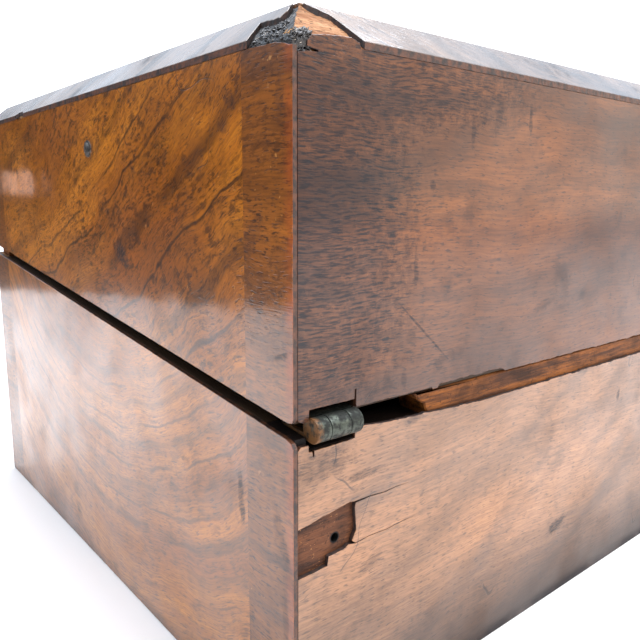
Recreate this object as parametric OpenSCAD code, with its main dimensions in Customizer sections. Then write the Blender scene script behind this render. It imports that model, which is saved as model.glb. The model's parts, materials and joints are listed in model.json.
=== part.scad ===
// Veneered hinged tea caddy, closed. Millimetres, +Z up, standing on z = 0, centred in X and Y.
// The hinged back is at +Y, the front with its lock at -Y. Lid and base part along a plane that
// rises towards the front.

/* [Box] */
// Overall width, side to side
box_w = 280; // [240:5:320]
// Depth of the wooden box, front face to back face
box_d = 195; // [180:1:215]
// Height of the side faces, up to the bevel
side_h = 140; // [130:1:150]
// How far the top bevel runs inwards
bevel_run = 6.3; // [4:0.1:8]
// How far the top bevel rises
bevel_rise = 6.2; // [4:0.1:8]

/* [Boards] */
// Thickness of the pine boards
board_t = 9; // [8:0.5:10]
// Thickness of the saw-cut walnut veneer
veneer_t = 1; // [0.8:0.1:1.2]
// Thickness of the bottom board
bottom_t = 8; // [6:0.5:9]
// Width of the crossbanding at each upright edge
band_w = 15.4; // [12:0.2:18]

/* [Split] */
// Height of the base's top edge at the back
split_back_z = 68; // [64:0.5:72]
// Slope of the split, rising towards the front
split_angle = 6.73; // [5:0.01:8]
// Open gap between the base veneer and the lid veneer
split_gap = 3.2; // [2.8:0.1:3.6]
// Height of the rim lipping that stands in the gap
lipping_h = 2.9; // [2.5:0.1:3]
// How far the back and front lipping stand back from the outer face
lipping_inset = 2; // [1.5:0.1:3]
// How far the side lipping stands back from the outer face
side_lipping_inset = 3.5; // [2:0.1:4]

/* [Hinges] */
// Radius of the hinge barrel
barrel_r = 2.45; // [2:0.05:2.6]
// Radius of the hinge pin
hinge_pin_r = 1; // [0.8:0.05:1.2]
// How far the barrel's axis lies outside the back face
axis_out = 0.2; // [0.1:0.05:0.5]
// Start of the barrel, measured in from the box corner
barrel_start = 4; // [2:0.1:4]
// End of the first knuckle
first_knuckle_end = 7.2; // [6:0.1:8]
// End of the second knuckle
second_knuckle_end = 12.2; // [11:0.1:13]
// End of the barrel
barrel_end = 15.3; // [14:0.1:17]

/* [Tea wells] */
// Clear width of the middle bay
middle_bay_w = 88; // [84:1:92]
// Thickness of each partition
partition_t = 4.5; // [3.5:0.5:6]
// Height of the partitions and of the closed tea lids
inner_top_z = 59; // [56:0.5:62]
// Wall of the foil-lined tea boxes
liner_t = 2.5; // [2:0.1:3]
// Thickness of a tea lid
tea_lid_t = 5; // [4:0.5:6]
// Outer radius of the bowl at its lip
bowl_lip_r = 41; // [38:0.5:42]
// Radius of the hole that the bowl stands in
bowl_hole_r = 38.5; // [37:0.5:39]

/* [Hidden] */
$fn = 48;

// The hinge barrel stands proud at the back, so the box is moved forward by half of that
half_w = box_w / 2;
barrel_proud = axis_out + barrel_r;
front_y = -box_d / 2 - barrel_proud / 2;
back_y = box_d / 2 - barrel_proud / 2;
mid_y = (front_y + back_y) / 2;
top_z = side_h + bevel_rise;

// Carcase faces: outer, under the veneer, and inner
carcase_x = half_w - veneer_t;
carcase_front_y = front_y + veneer_t;
carcase_back_y = back_y - veneer_t;
inner_x = carcase_x - board_t;
inner_front_y = carcase_front_y + board_t;
inner_back_y = carcase_back_y - board_t;
inner_mid_y = (inner_front_y + inner_back_y) / 2;

// The split: base_z is the base's top plane, lid_z the lid's bottom plane
split_slope = tan(split_angle);
function base_z(y) = split_back_z + split_slope * (back_y - y);
function lid_z(y) = base_z(y) + split_gap;
axis_y = back_y + axis_out;
axis_z = split_back_z + split_gap / 2;

// Lid top: the bevel veneer's edge shows as a line above the side veneer
bevel_slope = bevel_rise / bevel_run;
bevel_edge_h = 1.4;
side_veneer_top = side_h - bevel_edge_h;
top_ground_z = top_z - veneer_t;
bevel_inner_run = (top_ground_z - side_veneer_top) / bevel_slope;
top_board_bottom = top_ground_z - board_t;
pad_t = 6;

// The back edge of the base veneer is worn down, and the back lipping is taller to match
back_wear = 2.6;
back_rebate = 3.2;
lipping_break_top = 33.5;
lipping_break_bottom = 37.6;

// Hinge notches and leaves
notch_depth = 4.2;
notch_half_h = 4.1;
leaf_t = 1.1;
leaf_offset = 1.2;
leaf_reach = 9.2;
pin_clearance = 0.05;
knuckle_gap = 0.1;
screw_shank_r = 0.8;
screw_head_r = 1.5;
screw_len = 6;
hinge_screw_s = [6.4, 12.8];

// Lock, on the middle of the front board; the case reaches from its pocket to the inner face
lock_y = carcase_front_y + board_t / 2;
lock_half_w = 17;
lock_wall = 1;
lock_case_reach = 3.2;
selvedge_t = 1.2;
selvedge_w = 44;
selvedge_d = 7;
keyhole_z = base_z(front_y) - 13;
staple_drop = 8;

// Tea fittings
liner_top = inner_top_z - tea_lid_t;
lid_side_gap = 0.5;
lid_rest_gap = 0.2;
glue_line = 0.02;
well_low_x = middle_bay_w / 2 + partition_t;
knob_h = 13;
bowl_foot_z = bottom_t + 0.2;
bowl_top_z = 72;

walnut = [0.48, 0.27, 0.13];
band_brown = [0.40, 0.20, 0.09];
pine = [0.78, 0.62, 0.42];
lipping_brown = [0.33, 0.18, 0.09];
old_brass = [0.50, 0.47, 0.34];
steel = [0.45, 0.44, 0.42];

// A profile in Y and Z, run along X from x0 to x1
module run_x(x0, x1, outline) {
    translate([x0, 0, 0]) rotate([90, 0, 90]) linear_extrude(x1 - x0) polygon(outline);
}

// A profile in X and Z, run along Y from y0 to y1
module run_y(y0, y1, outline) {
    translate([0, y1, 0]) rotate([90, 0, 0]) linear_extrude(y1 - y0) polygon(outline);
}

// A block between two corners
module block(low, high) {
    translate(low) cube(high - low);
}

// A wall of the base, from z0 up to the split
module base_wall(x0, x1, y0, y1, z0 = 0) {
    run_x(x0, x1, [[y0, z0], [y1, z0], [y1, base_z(y1)], [y0, base_z(y0)]]);
}

// A wall of the lid, from the split up to z1
module lid_wall(x0, x1, y0, y1, z1) {
    run_x(x0, x1, [[y0, lid_z(y0)], [y1, lid_z(y1)], [y1, z1], [y0, z1]]);
}

// A strip of lipping on the base's rim
module lipping_strip(x0, x1, y0, y1, below = 0) {
    run_x(x0, x1, [[y0, base_z(y0) - below], [y1, base_z(y1) - below],
        [y1, base_z(y1) + lipping_h], [y0, base_z(y0) + lipping_h]]);
}

// Puts children on the hinge axis, with local -Y running along the split plane into the box
module at_hinge_axis() {
    translate([0, axis_y, axis_z]) rotate([-split_angle, 0, 0]) children();
}

// Puts children on the rim plane at the lock, with local z = 0 on the base's wooden top
module at_lock_rim() {
    translate([0, lock_y, base_z(lock_y)]) rotate([-split_angle, 0, 0]) children();
}

// Repeats a right-hand shape on the left as well
module both_sides() {
    children();
    mirror([1, 0, 0]) children();
}

// ---- Hinge parts, drawn for the right-hand end ----
module hinge_notch() {
    at_hinge_axis() block([half_w - barrel_end - 0.3, -notch_depth, -notch_half_h],
        [half_w - barrel_start + 0.3, 6, notch_half_h]);
}

module leaf_recess(side) {
    low = side < 0 ? -leaf_offset - leaf_t : leaf_offset - 1.5;
    high = side < 0 ? -leaf_offset + 1.5 : leaf_offset + leaf_t;
    at_hinge_axis() block([half_w - barrel_end - 0.3, -leaf_reach - 0.1, low],
        [half_w - barrel_start + 0.3, 0, high]);
}

module screw_places() {
    for (s = hinge_screw_s) at_hinge_axis() translate([half_w - s, -6.4, 0]) children();
}

// A countersunk screw whose head's face lies on z = 0 and points up
module screw(grow = 0) {
    head_h = 0.8;
    translate([0, 0, -screw_len]) cylinder(h = screw_len, r = screw_shank_r + grow);
    translate([0, 0, -head_h]) cylinder(h = head_h, r1 = screw_shank_r, r2 = screw_head_r);
}

module hinge_screw_group(side) {
    screw_places()
        translate([0, 0, side * leaf_offset]) rotate([side < 0 ? 0 : 180, 0, 0]) screw();
}

module knuckle(s0, s1) {
    translate([half_w - s1, 0, 0]) rotate([0, 90, 0]) cylinder(h = s1 - s0, r = barrel_r);
}

module hinge_leaf(side) {
    low = side < 0 ? -leaf_offset - leaf_t : leaf_offset;
    difference() {
        union() {
            at_hinge_axis() {
                difference() {
                    block([half_w - barrel_end, -leaf_reach, low],
                        [half_w - barrel_start, -0.4, low + leaf_t]);
                    translate([half_w - 20, 0, 0]) rotate([0, 90, 0])
                        cylinder(h = 20, r = barrel_r + 0.15);
                }
                if (side < 0) {
                    knuckle_arm(barrel_start, first_knuckle_end, low);
                    knuckle_arm(second_knuckle_end, barrel_end, low);
                } else {
                    knuckle_arm(first_knuckle_end + knuckle_gap,
                        second_knuckle_end - knuckle_gap, low);
                }
            }
        }
        at_hinge_axis() translate([half_w - 20, 0, 0]) rotate([0, 90, 0])
            cylinder(h = 20, r = hinge_pin_r + pin_clearance);
        hinge_screw_group(side);
    }
}

// One knuckle with the piece of plate that joins it to its leaf
module knuckle_arm(s0, s1, plate_low) {
    knuckle(s0, s1);
    block([half_w - s1, -3, plate_low], [half_w - s0, -0.4, plate_low + leaf_t]);
}

module hinge_pin() {
    at_hinge_axis() translate([half_w - barrel_end, 0, 0]) rotate([0, 90, 0])
        cylinder(h = barrel_end - barrel_start, r = hinge_pin_r);
}

// ---- Lock openings that several boards share ----
module lock_pocket() {
    block([-lock_half_w, lock_y - lock_case_reach, keyhole_z - 10],
        [lock_half_w, inner_front_y, base_z(lock_y) + 4]);
}

module selvedge_seat() {
    at_lock_rim() block([-selvedge_w / 2, -selvedge_d / 2, lipping_h - selvedge_t],
        [selvedge_w / 2, selvedge_d / 2, lipping_h + 3]);
}

module keyhole(y0, y1) {
    run_y(y0, y1, [[-1.1, keyhole_z - 6], [1.1, keyhole_z - 6], [1.1, keyhole_z],
        [-1.1, keyhole_z]]);
    translate([0, y1, keyhole_z]) rotate([90, 0, 0]) cylinder(h = y1 - y0, r = 2.3);
}

// Pointed oval of the keyhole plate
module escutcheon_shape(y0, y1) {
    plate_r = 14;
    half_plate_w = 6;
    intersection() {
        translate([plate_r - half_plate_w, y1, keyhole_z - 1.5]) rotate([90, 0, 0])
            cylinder(h = y1 - y0, r = plate_r);
        translate([half_plate_w - plate_r, y1, keyhole_z - 1.5]) rotate([90, 0, 0])
            cylinder(h = y1 - y0, r = plate_r);
    }
}

module lock_screw_places() {
    for (x = [-19.5, 19.5]) at_lock_rim() translate([x, 0, lipping_h]) children();
}

// ---- Base carcase ----
module base_front_board() color(pine) difference() {
    base_wall(-carcase_x, carcase_x, carcase_front_y, inner_front_y);
    lock_pocket();
    selvedge_seat();
    keyhole(carcase_front_y - 1, inner_front_y);
    lock_screw_places() screw();
}

module base_back_board() color(pine) difference() {
    base_wall(-carcase_x, carcase_x, inner_back_y, carcase_back_y);
    // Rebate that the back lipping stands in
    run_x(-half_w + barrel_end, half_w - barrel_end,
        [[inner_back_y - 1, base_z(inner_back_y - 1) - back_rebate],
         [back_y, base_z(back_y) - back_rebate],
         [back_y, base_z(back_y) + 5], [inner_back_y - 1, base_z(inner_back_y) + 5]]);
    both_sides() hinge_notch();
    both_sides() leaf_recess(-1);
    both_sides() hinge_screw_group(-1);
    // Old nail hole, bare where the veneer is lost
    translate([half_w - 11.1, carcase_back_y + 1, 45.4]) rotate([90, 0, 0])
        cylinder(h = 8, r = 0.95);
}

module base_right_board() color(pine)
    base_wall(inner_x, carcase_x, inner_front_y, inner_back_y);

module base_left_board() color(pine)
    base_wall(-carcase_x, -inner_x, inner_front_y, inner_back_y);

module bottom_board() color(pine)
    block([-inner_x, inner_front_y, 0], [inner_x, inner_back_y, bottom_t]);

// ---- Base veneers ----
module base_front_veneer() color(walnut) difference() {
    base_wall(-carcase_x + band_w, carcase_x - band_w, front_y, carcase_front_y);
    escutcheon_shape(front_y - 1, carcase_front_y + 1);
}

// The back veneer's top edge is worn low between the hinges, and a piece is lost at its right end
module base_back_veneer() color(walnut) difference() {
    run_y(carcase_back_y, back_y, [[-carcase_x, 0], [carcase_x, 0],
        [carcase_x, 40.4], [half_w - 8.4, 40.4], [half_w - 8.8, 42.4], [half_w - 12.6, 42.6],
        [half_w - 15, 43.7], [half_w - 16.1, 45.8], [half_w - 15.7, 50.8],
        [half_w - 14.3, 52.4], [carcase_x, 50.5],
        [carcase_x, split_back_z], [half_w - 17, split_back_z], [half_w - 24, split_back_z - 1],
        [half_w - 56, split_back_z - back_wear], [-half_w + 56, split_back_z - back_wear],
        [-half_w + 17, split_back_z], [-carcase_x, split_back_z]]);
    both_sides() hinge_notch();
}

module side_panel_base() {
    base_wall(carcase_x, half_w, front_y + band_w, back_y - band_w);
}

module base_right_veneer() color(walnut) side_panel_base();

module base_left_veneer() color(walnut) mirror([1, 0, 0]) side_panel_base();

module base_crossbands() color(band_brown) {
    both_sides() base_wall(carcase_x, half_w, front_y, front_y + band_w);
    both_sides() base_wall(carcase_x, half_w, back_y - band_w, back_y);
    both_sides() base_wall(carcase_x - band_w, carcase_x - glue_line, front_y,
        carcase_front_y);
}

// ---- Rim lipping ----
module front_lipping() color(lipping_brown) difference() {
    lipping_strip(-half_w + lipping_inset, half_w - lipping_inset,
        front_y + lipping_inset, inner_front_y);
    lock_pocket();
    selvedge_seat();
    lock_screw_places() screw();
}

// The back strip ends at the left-hand hinge, and is broken off short of the right-hand one
module back_lipping() color(lipping_brown) intersection() {
    lipping_strip(-half_w + barrel_end + 0.4, half_w, inner_back_y,
        back_y - lipping_inset, back_rebate);
    run_y(inner_back_y - 1, back_y, [[-half_w, 40], [half_w - lipping_break_bottom - 2, 40],
        [half_w - lipping_break_bottom, split_back_z - 2],
        [half_w - lipping_break_bottom + 1.2, split_back_z + 0.6],
        [half_w - lipping_break_top, split_back_z + lipping_h],
        [half_w - lipping_break_top, 90], [-half_w, 90]]);
}

module side_lipping() {
    lipping_strip(inner_x, half_w - side_lipping_inset, inner_front_y, inner_back_y);
}

module right_lipping() color(lipping_brown) side_lipping();

module left_lipping() color(lipping_brown) mirror([1, 0, 0]) side_lipping();

// ---- Tea fittings ----
module partition_wall() {
    block([middle_bay_w / 2, inner_front_y, bottom_t], [well_low_x, inner_back_y, inner_top_z]);
}

module right_partition() color("saddlebrown") partition_wall();

module left_partition() color("saddlebrown") mirror([1, 0, 0]) partition_wall();

module tea_liner() {
    difference() {
        block([well_low_x, inner_front_y, bottom_t], [inner_x, inner_back_y, liner_top]);
        block([well_low_x + liner_t, inner_front_y + liner_t, bottom_t + 1.5],
            [inner_x - liner_t, inner_back_y - liner_t, liner_top + 1]);
    }
}

module right_tea_liner() color("silver") tea_liner();

module left_tea_liner() color("silver") mirror([1, 0, 0]) tea_liner();

// The lid's bottom carries a rebate that drops inside the liner
module tea_lid() {
    low_z = liner_top + lid_rest_gap;
    knob_x = (well_low_x + inner_x) / 2;
    difference() {
        union() {
            block([well_low_x + lid_side_gap, inner_front_y + lid_side_gap, low_z],
                [inner_x - lid_side_gap, inner_back_y - lid_side_gap, low_z + tea_lid_t]);
            block([well_low_x + liner_t + 0.6, inner_front_y + liner_t + 0.6, low_z - 2],
                [inner_x - liner_t - 0.6, inner_back_y - liner_t - 0.6, low_z + 1]);
        }
        translate([knob_x, inner_mid_y, low_z + 0.5]) cylinder(h = 10, r = 2.5);
    }
}

module right_tea_lid() color(walnut) tea_lid();

module left_tea_lid() color(walnut) mirror([1, 0, 0]) tea_lid();

// Turned knob with a spigot that is glued into the lid
module lid_knob() {
    knob_x = (well_low_x + inner_x) / 2;
    foot_z = liner_top + lid_rest_gap + tea_lid_t;
    translate([knob_x, inner_mid_y, foot_z]) rotate_extrude() {
        polygon([[0, -4.2], [2.45, -4.2], [2.45, 0], [5, 0], [5, 1], [3.6, 1.6], [2.2, 3],
            [2, 4.6], [2.8, 5.8], [0, 5.8]]);
        intersection() {
            translate([0, 8.3]) circle(r = knob_h - 8.3);
            translate([0, 5]) square([knob_h, knob_h - 5]);
        }
    }
}

module right_lid_knob() color("ivory") lid_knob();

module left_lid_knob() color("ivory") mirror([1, 0, 0]) lid_knob();

module bowl_board() color("saddlebrown") difference() {
    block([-middle_bay_w / 2, inner_front_y, liner_top],
        [middle_bay_w / 2, inner_back_y, inner_top_z]);
    translate([0, inner_mid_y, liner_top - 1]) cylinder(h = tea_lid_t + 2, r = bowl_hole_r);
}

module bowl_board_ledges() color("saddlebrown") both_sides()
    block([middle_bay_w / 2 - 3.5, inner_front_y, liner_top - 4],
        [middle_bay_w / 2, inner_back_y, liner_top]);

// Glass bowl: a foot ring, straight sides that round into the floor, and a flared lip
module mixing_bowl() color("lightcyan", 0.6) {
    body_r = 36.5;
    wall = 2.2;
    corner_r = 16;
    corner_mid_r = body_r - corner_r;
    corner_mid_z = bowl_foot_z + 4 + corner_r;
    inner_corner_r = corner_r - wall;
    flare_z = bowl_top_z - 10;
    translate([0, inner_mid_y, 0]) rotate_extrude() polygon(concat(
        [[0, bowl_foot_z + 2], [14, bowl_foot_z + 2], [15, bowl_foot_z], [20, bowl_foot_z],
         [19, bowl_foot_z + 4]],
        [for (a = [0:15:90]) [corner_mid_r + corner_r * sin(a),
            corner_mid_z - corner_r * cos(a)]],
        [[body_r, flare_z], [bowl_lip_r - 2, bowl_top_z - 4], [bowl_lip_r, bowl_top_z],
         [bowl_lip_r - wall, bowl_top_z], [body_r - wall, flare_z]],
        [for (a = [90:-15:0]) [corner_mid_r + inner_corner_r * sin(a),
            corner_mid_z - inner_corner_r * cos(a)]],
        [[0, corner_mid_z - inner_corner_r]]));
}

// ---- Lock ----
module lock_case() color(old_brass) difference() {
    case_low = keyhole_z - 10;
    block([-lock_half_w, lock_y - lock_case_reach, case_low],
        [lock_half_w, inner_front_y, base_z(lock_y) + 4]);
    // The top is cut along the underside of the selvedge
    at_lock_rim() block([-lock_half_w - 1, -10, lipping_h - selvedge_t],
        [lock_half_w + 1, 10, 20]);
    block([-lock_half_w + lock_wall, lock_y - lock_case_reach + lock_wall, case_low + lock_wall],
        [lock_half_w - lock_wall, inner_front_y - lock_wall, base_z(lock_y) + 8]);
    keyhole(lock_y - 4, lock_y);
}

// A sliding bolt whose tongue enters the staple's eye
module lock_bolt() color(steel) at_lock_rim() {
    block([-15, -0.8, -6.6], [-6, 1.6, 0.4]);
    block([-6, -0.3, -4.6], [-1.7, 1.1, -2]);
}

module lock_selvedge() color(old_brass) difference() {
    at_lock_rim() block([-selvedge_w / 2, -selvedge_d / 2, lipping_h - selvedge_t],
        [selvedge_w / 2, selvedge_d / 2, lipping_h]);
    at_lock_rim() block([-1.4, -1.9, 0], [1.4, 2.7, 5]);
    lock_screw_places() screw();
}

module lock_key_pin() color(steel)
    translate([0, inner_front_y - lock_wall, keyhole_z]) rotate([90, 0, 0])
        cylinder(h = 3.6, r = 0.9);

module lock_screws() color(old_brass) lock_screw_places() screw();

module escutcheon() color("ivory") difference() {
    escutcheon_shape(front_y, carcase_front_y);
    keyhole(front_y - 1, carcase_front_y + 1);
}

module link_screw_places() {
    for (x = [-11, 11]) at_lock_rim() translate([x, 0, split_gap]) rotate([180, 0, 0])
        children();
}

module link_plate_shape() {
    at_lock_rim() block([-15, -3.4, split_gap], [15, 3.4, split_gap + 1.2]);
}

// Plate on the lid's rim with a staple that drops into the lock
module link_plate_and_staple() {
    link_plate_shape();
    at_lock_rim() block([-0.9, -1.3, split_gap - staple_drop], [0.9, 2.1, split_gap + 1]);
}
module lock_link_plate() color(old_brass) difference() {
    link_plate_and_staple();
    // The staple's eye, with room for the bolt's tongue
    at_lock_rim() block([-2, -0.7, -5], [2, 1.5, -1.6]);
    link_screw_places() screw();
}

module link_plate_screws() color(old_brass) link_screw_places() screw();

// ---- Hinges ----
module right_hinge_base_leaf() color(old_brass) hinge_leaf(-1);
module left_hinge_base_leaf() color(old_brass) mirror([1, 0, 0]) hinge_leaf(-1);
module right_hinge_lid_leaf() color(old_brass) hinge_leaf(1);
module left_hinge_lid_leaf() color(old_brass) mirror([1, 0, 0]) hinge_leaf(1);
module right_hinge_pin() color(steel) hinge_pin();
module left_hinge_pin() color(steel) mirror([1, 0, 0]) hinge_pin();
module base_hinge_screws() color(old_brass) both_sides() hinge_screw_group(-1);
module lid_hinge_screws() color(old_brass) both_sides() hinge_screw_group(1);

// ---- Lid carcase ----
module lid_front_board() color(pine) difference() {
    lid_wall(-carcase_x, carcase_x, carcase_front_y, inner_front_y, top_board_bottom);
    link_plate_and_staple();
    link_screw_places() screw();
}

module lid_back_board() color(pine) difference() {
    lid_wall(-carcase_x, carcase_x, inner_back_y, carcase_back_y, top_board_bottom);
    both_sides() hinge_notch();
    both_sides() leaf_recess(1);
    both_sides() hinge_screw_group(1);
}

module lid_right_board() color(pine) difference() {
    lid_wall(inner_x, carcase_x, inner_front_y, inner_back_y, top_board_bottom);
    nail_shape();
}

module lid_left_board() color(pine)
    lid_wall(-carcase_x, -inner_x, inner_front_y, inner_back_y, top_board_bottom);

// Outline across the lid's top board, n being the distance in from each side face
function top_board_outline(low, high) = [
    [low + veneer_t, top_board_bottom], [high - veneer_t, top_board_bottom],
    [high - veneer_t, side_veneer_top + veneer_t * bevel_slope],
    [high - bevel_inner_run, top_ground_z], [low + bevel_inner_run, top_ground_z],
    [low + veneer_t, side_veneer_top + veneer_t * bevel_slope]];

module lid_top_board() color(pine) intersection() {
    run_x(-half_w, half_w, top_board_outline(front_y, back_y));
    run_y(front_y, back_y, top_board_outline(-half_w, half_w));
}

// ---- Lid veneers ----
// The right-hand top corner at the back is broken away, through the bevels and down the back
module back_corner_break() {
    run_y(back_y - 9, back_y + 1, [[half_w + 1, side_h - 4.3], [half_w - 3.8, side_h - 4.3],
        [half_w - 7.5, side_h - 2.2], [half_w - 14.2, side_h - 0.6],
        [half_w - 11, side_h + 2.4], [half_w - 6.4, side_h + 5.4],
        [half_w - 5.6, side_h + 7], [half_w + 1, side_h + 7]]);
}

module side_corner_break() {
    run_x(half_w - 9, half_w + 1, [[back_y + 1, side_h - 2.6], [back_y - 2, side_h - 2.2],
        [back_y - 4.6, side_h - 1], [back_y - 8.6, side_h + 0.2],
        [back_y - 13.4, side_h - 0.2], [back_y - 12, side_h + 1.6],
        [back_y - 7.4, side_h + 3.2], [back_y - 5.8, side_h + 7], [back_y + 1, side_h + 7]]);
}

module lid_front_veneer() color(walnut)
    lid_wall(-carcase_x + band_w, carcase_x - band_w, front_y, carcase_front_y,
        side_veneer_top);

module lid_back_veneer() color(walnut) difference() {
    lid_wall(-carcase_x, carcase_x, carcase_back_y, back_y, side_veneer_top);
    both_sides() hinge_notch();
    back_corner_break();
}

module lid_right_veneer() color(walnut) difference() {
    lid_wall(carcase_x, half_w, front_y + band_w, back_y - band_w, side_veneer_top);
    nail_shape();
}

module lid_left_veneer() color(walnut)
    lid_wall(-half_w, -carcase_x, front_y + band_w, back_y - band_w, side_veneer_top);

module lid_crossbands() color(band_brown) {
    both_sides() lid_wall(carcase_x, half_w, front_y, front_y + band_w, side_veneer_top);
    both_sides() lid_wall(carcase_x - band_w, carcase_x - glue_line, front_y,
        carcase_front_y, side_veneer_top);
    lid_wall(-half_w, -carcase_x, back_y - band_w, back_y, side_veneer_top);
    difference() {
        lid_wall(carcase_x, half_w, back_y - band_w, back_y, side_veneer_top);
        side_corner_break();
    }
}

module lid_top_veneer() color(walnut)
    block([-half_w + bevel_inner_run, front_y + bevel_inner_run, top_ground_z],
        [half_w - bevel_inner_run, back_y - bevel_inner_run, top_z]);

// Section of a bevel veneer; out is the outer face's place and turn points inwards
function bevel_outline(out, turn) = [
    [out, side_veneer_top], [out, side_h], [out + turn * bevel_run, top_z],
    [out + turn * bevel_inner_run, top_z], [out + turn * bevel_inner_run, top_ground_z]];

// Mitre area of a bevel strip along one edge, seen from above
module mitre_area(outline) {
    translate([0, 0, side_veneer_top - 1]) linear_extrude(bevel_rise + 4) polygon(outline);
}

module long_mitre(out, turn) {
    mitre_area([[-half_w, out], [half_w, out],
        [half_w - bevel_inner_run, out + turn * bevel_inner_run],
        [-half_w + bevel_inner_run, out + turn * bevel_inner_run]]);
}

module short_mitre(out, turn) {
    mitre_area([[out, front_y], [out, back_y],
        [out + turn * bevel_inner_run, back_y - bevel_inner_run],
        [out + turn * bevel_inner_run, front_y + bevel_inner_run]]);
}

module front_bevel_veneer() color(walnut) intersection() {
    run_x(-half_w, half_w, bevel_outline(front_y, 1));
    long_mitre(front_y, 1);
}

module back_bevel_veneer() color(walnut) difference() {
    intersection() {
        run_x(-half_w, half_w, bevel_outline(back_y, -1));
        long_mitre(back_y, -1);
    }
    back_corner_break();
}

module left_bevel_veneer() color(walnut) intersection() {
    run_y(front_y, back_y, bevel_outline(-half_w, 1));
    short_mitre(-half_w, 1);
}

module right_bevel_veneer() color(walnut) difference() {
    intersection() {
        run_y(front_y, back_y, bevel_outline(half_w, -1));
        short_mitre(half_w, -1);
    }
    side_corner_break();
}

// Padded lining under the top board
module lid_lining_pad() color("darkred")
    block([-inner_x + 0.5, inner_front_y + 0.5, top_board_bottom - pad_t],
        [inner_x - 0.5, inner_back_y - 0.5, top_board_bottom]);

// A nail driven through the right side of the lid; its domed head just stands proud
module nail_shape() {
    nail_y = back_y - 91.9;
    nail_z = 125.4;
    head_r = 2.2;
    translate([half_w - 8, nail_y, nail_z]) rotate([0, 90, 0]) cylinder(h = 8, r = 0.6);
    translate([half_w - 0.6, nail_y, nail_z]) rotate([0, 90, 0]) cylinder(h = 0.9, r = head_r);
}

module repair_nail() color(steel) nail_shape();

base_front_board();
base_back_board();
base_left_board();
base_right_board();
bottom_board();
base_front_veneer();
base_back_veneer();
base_left_veneer();
base_right_veneer();
base_crossbands();
front_lipping();
back_lipping();
left_lipping();
right_lipping();
left_partition();
right_partition();
left_tea_liner();
right_tea_liner();
bowl_board();
bowl_board_ledges();
left_tea_lid();
left_lid_knob();
right_tea_lid();
right_lid_knob();
mixing_bowl();
lock_case();
lock_bolt();
lock_selvedge();
lock_key_pin();
lock_screws();
escutcheon();
left_hinge_base_leaf();
right_hinge_base_leaf();
left_hinge_pin();
right_hinge_pin();
base_hinge_screws();
lid_front_board();
lid_back_board();
lid_left_board();
lid_right_board();
lid_top_board();
lid_front_veneer();
lid_back_veneer();
lid_left_veneer();
lid_right_veneer();
lid_crossbands();
lid_top_veneer();
front_bevel_veneer();
back_bevel_veneer();
left_bevel_veneer();
right_bevel_veneer();
lid_lining_pad();
left_hinge_lid_leaf();
right_hinge_lid_leaf();
lid_hinge_screws();
lock_link_plate();
link_plate_screws();
repair_nail();
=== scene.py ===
# %% [markdown]
# # A worn walnut tea caddy
# An old box is seen close, from behind one of its hinged corners. The boards, hinges and lock come
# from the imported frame, in metres. This script gives them their finishes, and swaps the parts that
# need broken edges, turned metal or soft cloth for meshes with more detail.

# %% Load the frame
import json
import math
import random

import bmesh
import bpy
from mathutils import Matrix, Vector, noise


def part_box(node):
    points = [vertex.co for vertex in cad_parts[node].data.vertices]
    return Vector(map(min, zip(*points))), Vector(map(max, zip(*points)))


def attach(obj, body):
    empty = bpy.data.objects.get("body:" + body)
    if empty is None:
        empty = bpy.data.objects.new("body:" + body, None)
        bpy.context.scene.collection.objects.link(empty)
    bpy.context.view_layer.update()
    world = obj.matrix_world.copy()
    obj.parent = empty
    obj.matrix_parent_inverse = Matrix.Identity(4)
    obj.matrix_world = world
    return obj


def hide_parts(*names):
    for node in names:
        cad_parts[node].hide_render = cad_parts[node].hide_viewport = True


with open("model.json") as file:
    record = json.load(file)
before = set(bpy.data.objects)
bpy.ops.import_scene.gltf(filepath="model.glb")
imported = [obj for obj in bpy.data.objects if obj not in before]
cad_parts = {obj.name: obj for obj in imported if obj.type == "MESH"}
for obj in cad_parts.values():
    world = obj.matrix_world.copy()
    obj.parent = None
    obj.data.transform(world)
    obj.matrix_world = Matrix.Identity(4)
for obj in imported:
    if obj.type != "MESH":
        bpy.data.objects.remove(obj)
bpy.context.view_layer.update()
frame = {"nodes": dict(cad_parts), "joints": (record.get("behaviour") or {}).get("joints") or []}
nodes = frame["nodes"]

# %% [markdown]
# Every place below is worked out from the frame. The crossbands' box gives the box's right face,
# the front and back veneers give its depth, and the split's slope follows from their heights. All
# damage is placed from the near corner: the distance along a wall, and the height, in millimetres.

# %% Measures taken from the frame
MM = 0.001
half_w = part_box("base_crossbands")[1].x
front_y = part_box("base_front_veneer")[0].y
back_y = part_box("base_back_veneer")[1].y
veneer_t = (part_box("base_back_veneer")[1].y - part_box("base_back_veneer")[0].y) / MM
split_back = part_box("base_back_veneer")[1].z / MM
split_slope = ((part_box("base_front_veneer")[1].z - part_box("base_back_veneer")[1].z)
               / (back_y - front_y))
split_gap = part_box("lid_back_veneer")[0].z / MM - split_back
lid_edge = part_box("lid_back_veneer")[1].z / MM
bevel_edge_t = 1.4
side_h = lid_edge + bevel_edge_t
# The top veneer's mitre leans in by half the bevel's angle, so its box starts a little further in
mitre_lean = veneer_t * math.tan(math.radians(22.3))
bevel_run = (half_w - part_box("lid_top_veneer")[1].x) / MM - mitre_lean
bevel_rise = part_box("lid_top_veneer")[1].z / MM - side_h
width = 2 * half_w / MM
depth = (back_y - front_y) / MM
band_w = half_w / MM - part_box("base_front_veneer")[1].x / MM - 1
hinge = next(j for j in frame["joints"] if j["name"] == "lid_hinge")
axis_y, axis_z = hinge["pos_m"][1], hinge["pos_m"][2]
print("width", round(width, 1), "depth", round(depth, 1), "side height", round(side_h, 1),
      "bevel", round(bevel_run, 2), "by", round(bevel_rise, 2), "band", round(band_w, 2))


def base_top(u):
    """Height in mm of the base's top edge, u mm in front of the back face."""
    return split_back + split_slope * u


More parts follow.
